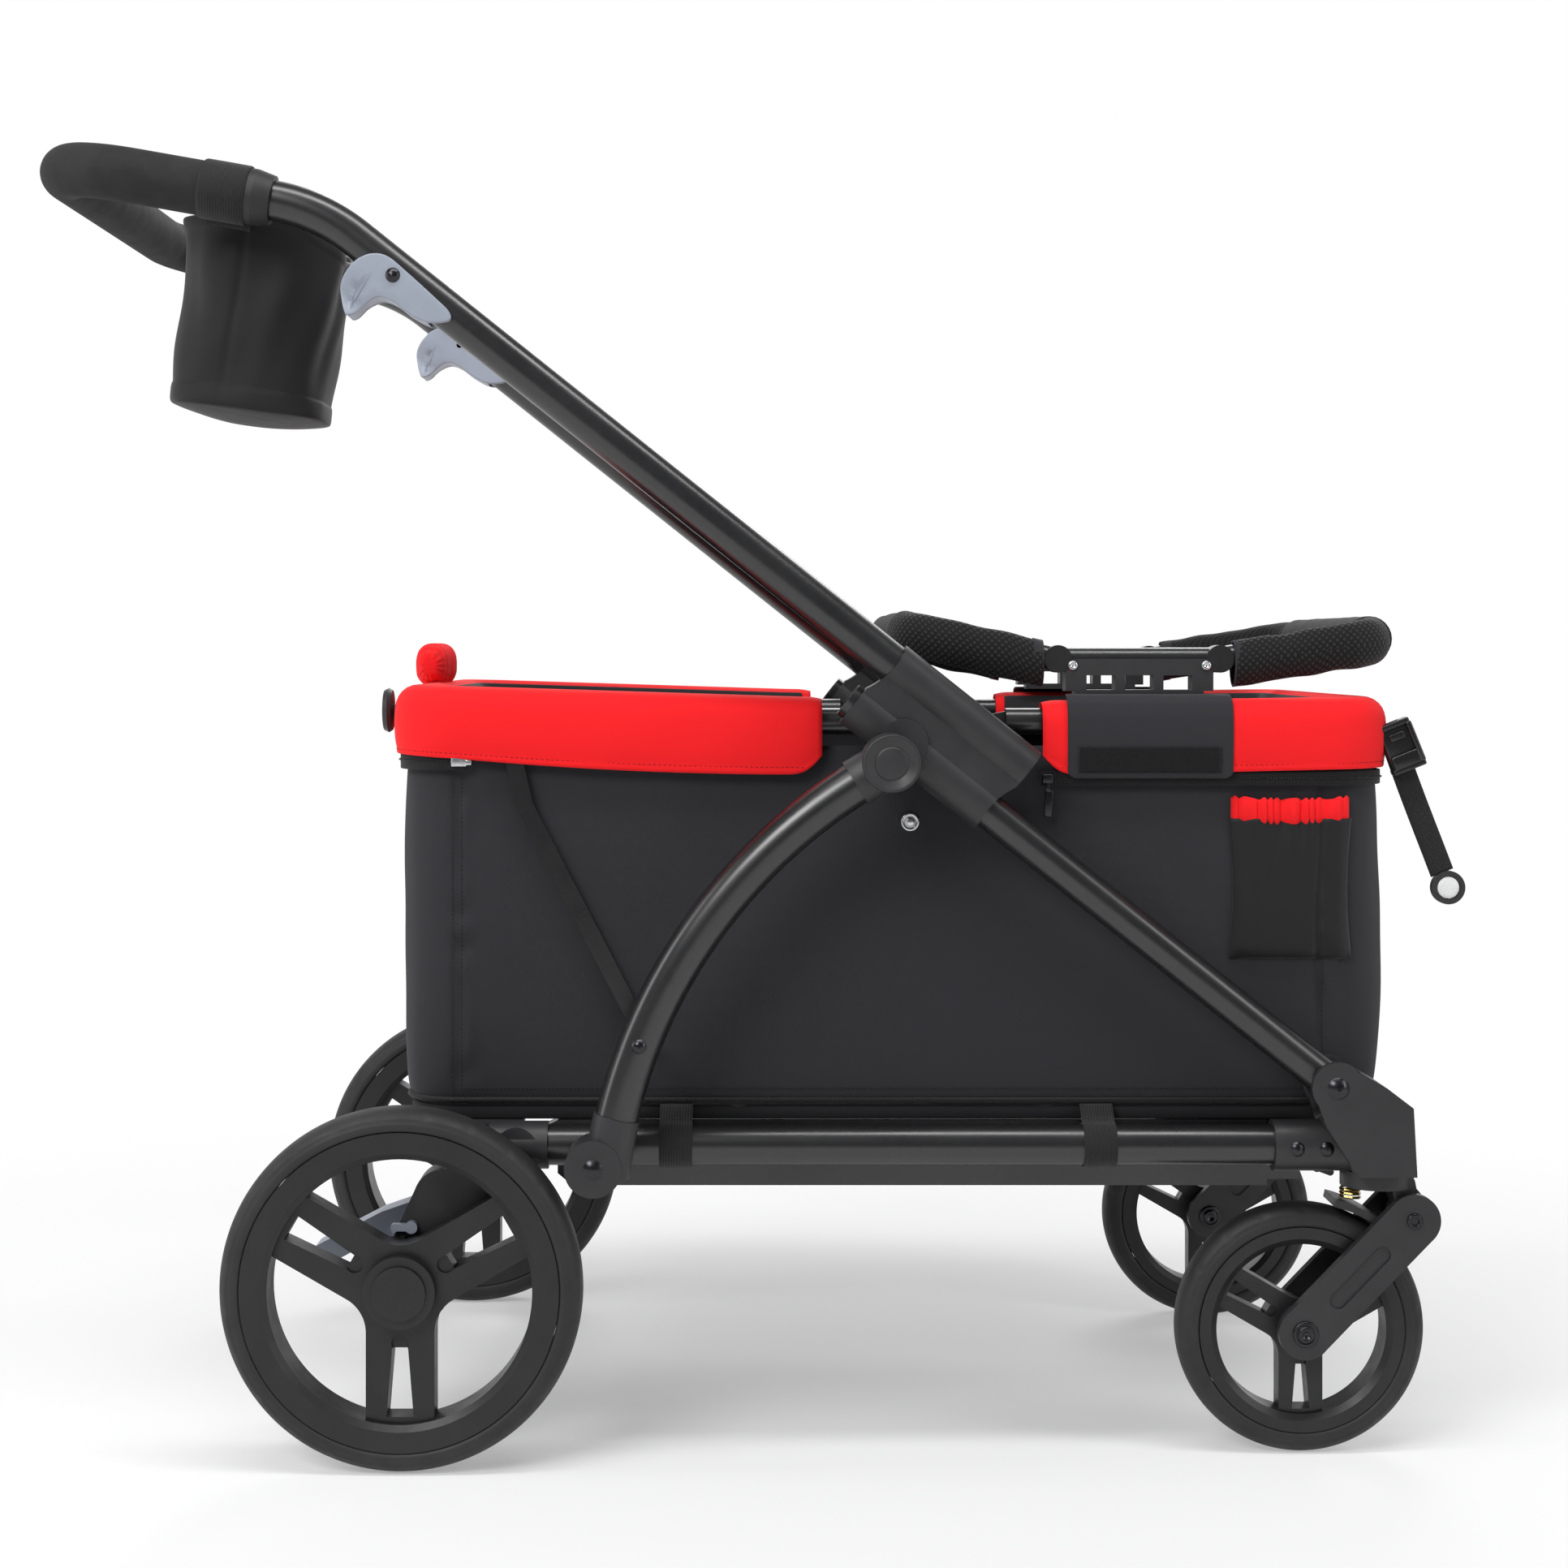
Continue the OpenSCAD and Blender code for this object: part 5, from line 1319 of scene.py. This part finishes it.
# %% Zips and seams
front_zip_line = rim_u(240.0, RAIL_X1, 8.0)
rear_zip_line = rim_u(-236.0, RAIL_X0, 6.0)
ZIPS = (("front_zip", front_zip_line, 12.0, 553.5), ("rear_zip", rear_zip_line, 15.0, 567.5))
for name, line, height, z in ZIPS:
    tape = ribbon(f"{name}_tape", offset_line(line, 19.6, z), (0, 0, 1), height, 2.0)
    dress(tape, zip_tape, "chassis")
    crumple(tape)
    teeth = stitch_row(f"{name}_teeth", [offset_line(line, 20.8, z)], 2.4, (1.7, 0.9, 0.8),
                       gloss_plastic, "chassis", "black_cloth")
    crumple(teeth)
for side in (RIGHT, LEFT):
    slider = moulding(side_name("rear_zip_slider", side), [
        ((13.0, 3.6, 9.0), (-241.0, side * 229.4, 567.5), 1.2, None),
        ((6.0, 2.4, 4.6), (-233.5, side * 229.8, 566.5), 0.9, None)])
    dress(slider, bright_steel, "chassis")
    crumple(slider)
    pull = moulding(side_name("front_zip_pull", side), [
        ((9.0, 3.4, 8.0), (245.0, side * 230.0, 553.0), 1.2, None),
        ((3.6, 1.8, 9.0), (245.0, side * 231.2, 546.0), 0.7, None),
        ((6.4, 2.2, 22.0), (245.6, side * 231.4, 532.5), 0.9, turned(4))])
    dress(pull, bolt_black, "chassis")
    crumple(pull)
piping_rows = []
for a in turn_angles(10):
    piping_rows.append(offset_line(rim_loop, 12.4 + 2.2 * math.cos(a), 286.5 + 2.2 * math.sin(a)))
piping_rows.append(piping_rows[0])
piping = weld(lofted("basket_piping", piping_rows, closed=True))
dress(piping, black_webbing, "chassis")


def wall_line(x0, z0, x1, z1, side, lift=0.35):
    return [on_wall(x0 + (x1 - x0) * t, z0 + (z1 - z0) * t, side, lift) for t in np.linspace(0, 1, 60)]


seams = []
for side in (RIGHT, LEFT):
    seams += [wall_line(x, 292, x, 556, side) for x in (-247.0, -239.5, 473.5)]
    seams += [wall_line(-240, 296.0, 470, 296.0, side)]
    seams += [wall_line(POCKET_X[0] + 2, 406, POCKET_X[1] - 2, 406, side, 2.2)]
wall_seams = stitch_row("basket_seams", seams, 3.6, (0.4, 0.4, 1.3), thread_black, "chassis", "black_cloth")
crumple(wall_seams)
print("zips: 2; seams:", len(seams))

# %% [markdown]
# ## Rivets and screws with Geometry Nodes
# The swing arms turn on hollow rivets, their axle bolts have a collar, the adapter's brackets are screwed
# on, and each rear leg's knee has a ringed cover. A head is a section turned about its axis, drawn once as
# a template. A node tree then sets the template on every place that needs it, turned to the side that it
# faces.

# %% Button tree
def turned_template(name, section, count=28):
    """A head turned about the y axis from (radius, height) points; it faces minus y."""
    rows = [[(r * math.cos(a) - datum_x, -h, r * math.sin(a)) for a in turn_angles(count)]
            for r, h in section]
    return solid(name, rows)


def button_tree():
    tree = bpy.data.node_groups.new("heads_on_points", "GeometryNodeTree")
    add_input(tree, "Geometry", "NodeSocketGeometry")
    add_input(tree, "Head", "NodeSocketObject")
    add_input(tree, "Finish", "NodeSocketMaterial")
    tree.interface.new_socket("Geometry", in_out="OUTPUT", socket_type="NodeSocketGeometry")
    make = tree.nodes.new
    start, end = make("NodeGroupInput"), make("NodeGroupOutput")
    head, points = make("GeometryNodeObjectInfo"), make("GeometryNodeMeshToPoints")
    repeat = make("GeometryNodeInstanceOnPoints")
    facing, turn = make("GeometryNodeInputNamedAttribute"), make("ShaderNodeCombineXYZ")
    facing.data_type = "FLOAT"
    facing.inputs["Name"].default_value = "turn"
    to_rotation = make("FunctionNodeEulerToRotation")
    realize, paint = make("GeometryNodeRealizeInstances"), make("GeometryNodeSetMaterial")
    wire(
        tree,
        (start, "Head", head, "Object"),
        (start, "Geometry", points, "Mesh"),
        (points, "Points", repeat, "Points"),
        (head, "Geometry", repeat, "Instance"),
        (facing, "Attribute", turn, "Z"),
        (turn, "Vector", to_rotation, "Euler"),
        (to_rotation, "Rotation", repeat, "Rotation"),
        (repeat, "Instances", realize, "Geometry"),
        (realize, "Geometry", paint, "Geometry"),
        (start, "Finish", paint, "Material"),
        (paint, "Geometry", end, "Geometry"),
    )
    return tree


BUTTONS = button_tree()


def heads(name, template, places, finish, body, slot):
    """Sets a head on each (point, side) place. A head at minus y faces the right side of the wagon."""
    points = [point for point, _ in places]
    turns = [0.0 if way == RIGHT else math.pi for _, way in places]
    piece = grow(name, BUTTONS, points, [], body, slot, turns, Head=template, Finish=finish)
    piece.data.shade_smooth()
    return piece


rivet = turned_template("rivet_template", [
    (6.4, -0.2), (6.4, 1.2), (5.6, 2.0), (3.8, 2.0), (3.2, 1.2), (3.0, -1.4), (0.1, -1.4)])
axle_head = turned_template("axle_template", [
    (10.5, -0.2), (10.5, 1.4), (9.6, 2.2), (7.4, 2.2), (6.8, 1.4), (6.6, 3.2), (5.8, 4.2), (3.4, 4.2),
    (3.0, 2.6), (0.1, 2.6)])
screw = turned_template("screw_template", [
    (4.2, -0.2), (4.2, 1.0), (3.4, 1.9), (2.0, 2.3), (1.6, 1.3), (0.1, 1.3)])
knee_cover = turned_template("knee_template", [
    (23.2, -0.4), (23.2, 0.8), (22.5, 1.5), (20.8, 1.5), (20.1, 0.8), (14.2, 0.6), (13.7, 0.1),
    (13.1, 0.1), (12.7, 0.9), (11.9, 1.2), (0.1, 1.5)], count=64)
ARM_PIVOT, ARM_HALF = (541.0, 194.0), 31.0
for side in (RIGHT, LEFT):
    for stem, template, (x, z) in (("arm_rivets", rivet, ARM_PIVOT), ("axle_heads", axle_head, FRONT_AXLE)):
        places = [((x, side * CASTER_Y + way * ARM_HALF, z), way) for way in (RIGHT, LEFT)]
        heads(side_name(stem, side), template, places, bolt_black, side_name("swing", side), "bright_steel")
places = [((x, way * 212.0, 646.5), way) for x in (268.0, 379.0) for way in (RIGHT, LEFT)]
heads("bracket_screws", screw, places, bright_steel, "front_rail", "bright_steel")
places = [((112.6, way * 308.0, 569.0), way) for way in (RIGHT, LEFT)]
knee_covers = heads("knee_covers", knee_cover, places, charcoal_moulding, "rear_legs", "charcoal_plastic")
for template in (rivet, axle_head, screw, knee_cover):
    bpy.data.objects.remove(template)
print("heads on the arms: 8, bracket screws: 4, knee covers: 2,", len(knee_covers.data.polygons), "faces")

# %% [markdown]
# ## Floor mat
# Inside, a stiff board with a cloth cover is the basket's floor. Seen from above it fills the basket, so it
# gets soft edges, a slight crown and the two cross folds where the board bends to pack the wagon away.

# %% Floor mat
def mat_ring(shrink, out, z):
    ring = offset_line(rim_loop, out, z)
    centre = np.array([(RAIL_X0 + RAIL_X1) / 2, 0.0])
    ring[:, :2] = centre + (ring[:, :2] - centre) * shrink
    for fold_x in (-10.0, 245.0):
        ring[:, 2] -= 2.2 * np.exp(-((ring[:, 0] - fold_x) / 5.0) ** 2) * (z > 280)
    return ring


MAT_EDGE = ((9.0, 270.3), (10.2, 272.0), (10.4, 276.0), (10.2, 280.2), (8.6, 281.8))
MAT_SHARES = (1.0, 0.97, 0.9, 0.8, 0.68, 0.55, 0.42, 0.28, 0.14, 0.01)
mat_rows = [mat_ring(1, out, z) for out, z in MAT_EDGE]
mat_rows += [mat_ring(s, 7.0, FLOOR_TOP + 0.5 * (1 - s)) for s in MAT_SHARES]
mat = solid("floor_mat", mat_rows)
dress(mat, lining_cloth, "chassis")
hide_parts("floor_board")
print("floor mat:", len(mat.data.polygons), "faces")

# %% [markdown]
# ## Suspension springs
# Each swing arm presses a coil spring against the yoke above it. The spring is one of the solids and hangs
# from the yoke, and it shortens towards its upper seat as the arm swings up. Here it only gets a mesh of its
# own; nothing makes it shorten.

# %% Suspension springs
for side in (RIGHT, LEFT):
    spring, seat = nodes[side_name("spring", side)], place(495.2, side * CASTER_Y, 217.5)
    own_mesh(spring)

# %% [markdown]
# ## Handle tubes
# A bent tube shows every flaw of its surface, because one long highlight runs along it. The frame's own
# handle tube is cut into slivers at its holes, which break that highlight up. So the two sides are swept
# again as clean tubes: a circle carried along the straight slide, round the bend and into the grip's
# collar.

# %% Handle tubes
LEG_FOOT, LEG_SLOPE = (476.0, 304.0), math.radians(38.5)
HANDLE_PITCH, HANDLE_TOP, HANDLE_BEND = 45.0, 1056.0, 150.0


def leg_point(up, square):
    """A point up the sloping leg from its pivot, and square to it."""
    cos, sin = math.cos(LEG_SLOPE), math.sin(LEG_SLOPE)
    return (LEG_FOOT[0] - up * cos + square * sin, LEG_FOOT[1] + up * sin + square * cos)


def swept_tube(name, path, radius):
    """A closed tube along points in an upright plane that faces y."""
    path = np.asarray(path, float)
    run = directions(path)
    square = np.cross(run, (0, 1, 0))
    across = np.array((0, 1, 0))
    rows = [[p + radius * (math.cos(a) * s + math.sin(a) * across) for a in turn_angles(40)]
            for p, s in zip(path, square)]
    return solid(name, rows)


bend_middle = leg_point(HANDLE_TOP, HANDLE_PITCH - HANDLE_BEND)
handle_line = [leg_point(up, HANDLE_PITCH) for up in np.linspace(376, HANDLE_TOP, 24, endpoint=False)]
handle_line += [(bend_middle[0] + HANDLE_BEND * math.sin(a), bend_middle[1] + HANDLE_BEND * math.cos(a))
                for a in np.linspace(LEG_SLOPE, GRIP_SLOPE, 24)]
handle_line += [(on_grip(back, 0, 0)[0], on_grip(back, 0, 0)[2]) for back in (3.0, 8.0, 16.0, 26.0)]
for side in (RIGHT, LEFT):
    side_line = [(x, side * GRIP_Y, z) for x, z in handle_line]
    handle_side = swept_tube(side_name("handle_side", side), side_line, TUBE_R)
    dress(handle_side, tube_coat, "handle")
    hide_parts("handle_tube")
print("handle tubes:", len(handle_line), "stations each")

# %% [markdown]
# ## Release levers
# A grey finger lever straddles the handle tube on each side: two cheeks beside the tube, a web under it and
# a hooked finger piece. The moulding has no sharp edge anywhere, so its outline is a smooth closed curve
# through a few points, measured along the tube and square to it from the rivet. The outline is swept across
# the lever, drawn in at both faces for the round edges, cut back between the cheeks to leave room for the
# tube, and waisted at the hook.

# %% Release levers
LEVER_RIVET = (-290.15, 963.26)
LEVER_POINTS = np.array([(-30.5, -6), (-24.5, 3.5), (-13, 9.5), (8, 9.2), (38, 7.2), (53, 5.6), (59, 1.2),
                         (56, -4.5), (45, -13), (29, -16.4), (13, -17), (2, -21), (-3.4, -31),
                         (-5.6, -43), (-9.2, -48.4), (-14, -47), (-23, -40), (-29.5, -33), (-32, -24),
                         (-32, -14)], float)


def smooth_loop(points, steps):
    """A smooth closed curve through the points. Each stretch is a cubic that starts along its neighbours."""
    loop = []
    for i in range(len(points)):
        before, here, after, beyond = (points[(i + k) % len(points)] for k in (-1, 0, 1, 2))
        for t in np.linspace(0, 1, steps, endpoint=False):
            square, cube = 2 * before - 5 * here + 4 * after - beyond, 3 * here - before - 3 * after + beyond
            loop.append(0.5 * (2 * here + (after - before) * t + square * t ** 2 + cube * t ** 3))
    return np.array(loop)


lever_loop = smooth_loop(LEVER_POINTS, 6)
lever_run = np.roll(lever_loop, -1, 0) - np.roll(lever_loop, 1, 0)
lever_run /= np.linalg.norm(lever_run, axis=1)[:, None]
lever_inwards = np.stack([lever_run[:, 1], -lever_run[:, 0]], 1)
LEVER_SPINE = np.array([
    (51, 0.5), (30, -4), (8, -5), (-8, -5.5), (-17, -9), (-19, -20), (-16.5, -32), (-11, -43)], float)
steps = np.linspace(0, 1, 9)[:, None]
spine_line = np.concatenate([here + (after - here) * steps
                             for here, after in zip(LEVER_SPINE, LEVER_SPINE[1:])])
nearest = np.linalg.norm(lever_loop[:, None] - spine_line[None], axis=2).argmin(1)
lever_middle = spine_line[nearest]
for _ in range(24):
    lever_middle = (np.roll(lever_middle, 1, 0) + 2 * lever_middle + np.roll(lever_middle, -1, 0)) / 4


def lever_row(across, inset, between, to_spine=0.0):
    loop = lever_loop + lever_inwards * inset
    loop = loop + (lever_middle - loop) * to_spine
    if between:
        under_tube = -12.4 - 0.18 * np.clip(-loop[:, 0], 0, None)
        loop = np.stack([np.minimum(loop[:, 0], 45.0), np.minimum(loop[:, 1], under_tube)], 1)
    along, square = loop[:, 0], loop[:, 1]
    waist = 1 - 0.36 * np.exp(-(((square + 36) / 11) ** 2)) * (square < -14)
    cos, sin = math.cos(LEG_SLOPE), math.sin(LEG_SLOPE)
    return np.stack([LEVER_RIVET[0] + along * cos + square * sin, GRIP_Y + across * waist,
                     LEVER_RIVET[1] - along * sin + square * cos], 1)


half_row = [(20.5, 0.0, False, 0.98), (20.5, 0.0, False, 0.5), (20.4, 1.4, False), (20.1, 0.8, False),
            (19.5, 0.3, False), (18.6, 0.0, False), (17.5, 0.0, False), (17.2, 0.2, True)]
lever_rows = half_row + [(across, 0.2, True) for across in (8.6, 0.0, -8.6)]
lever_rows += [(-across, *rest) for across, *rest in reversed(half_row)]
for side in (RIGHT, LEFT):
    rows = [lever_row(*row) * (1, side, 1) for row in lever_rows]
    lever = solid(side_name("finger_lever", side), rows)
    dress(lever, lever_plastic, side_name("lever", side))
    for face in lever.data.polygons:
        face.use_smooth = abs(face.normal.y) < 0.96
    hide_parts(side_name("release_lever", side))
print("finger levers:", len(lever.data.polygons), "faces each")

# %% [markdown]
# ## Measure and finish
# The sizes of the solids and of the dressed wagon are printed side by side. The dressed wagon should stay
# the size of its solids, apart from the little that cloth may stand proud.

# %% Measure and finish
visual_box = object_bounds()
for name, low_corner, high_corner in (("solids", *cad_box), ("dressed", *visual_box)):
    print(name, [round(high - low, 4) for low, high in zip(low_corner, high_corner)])
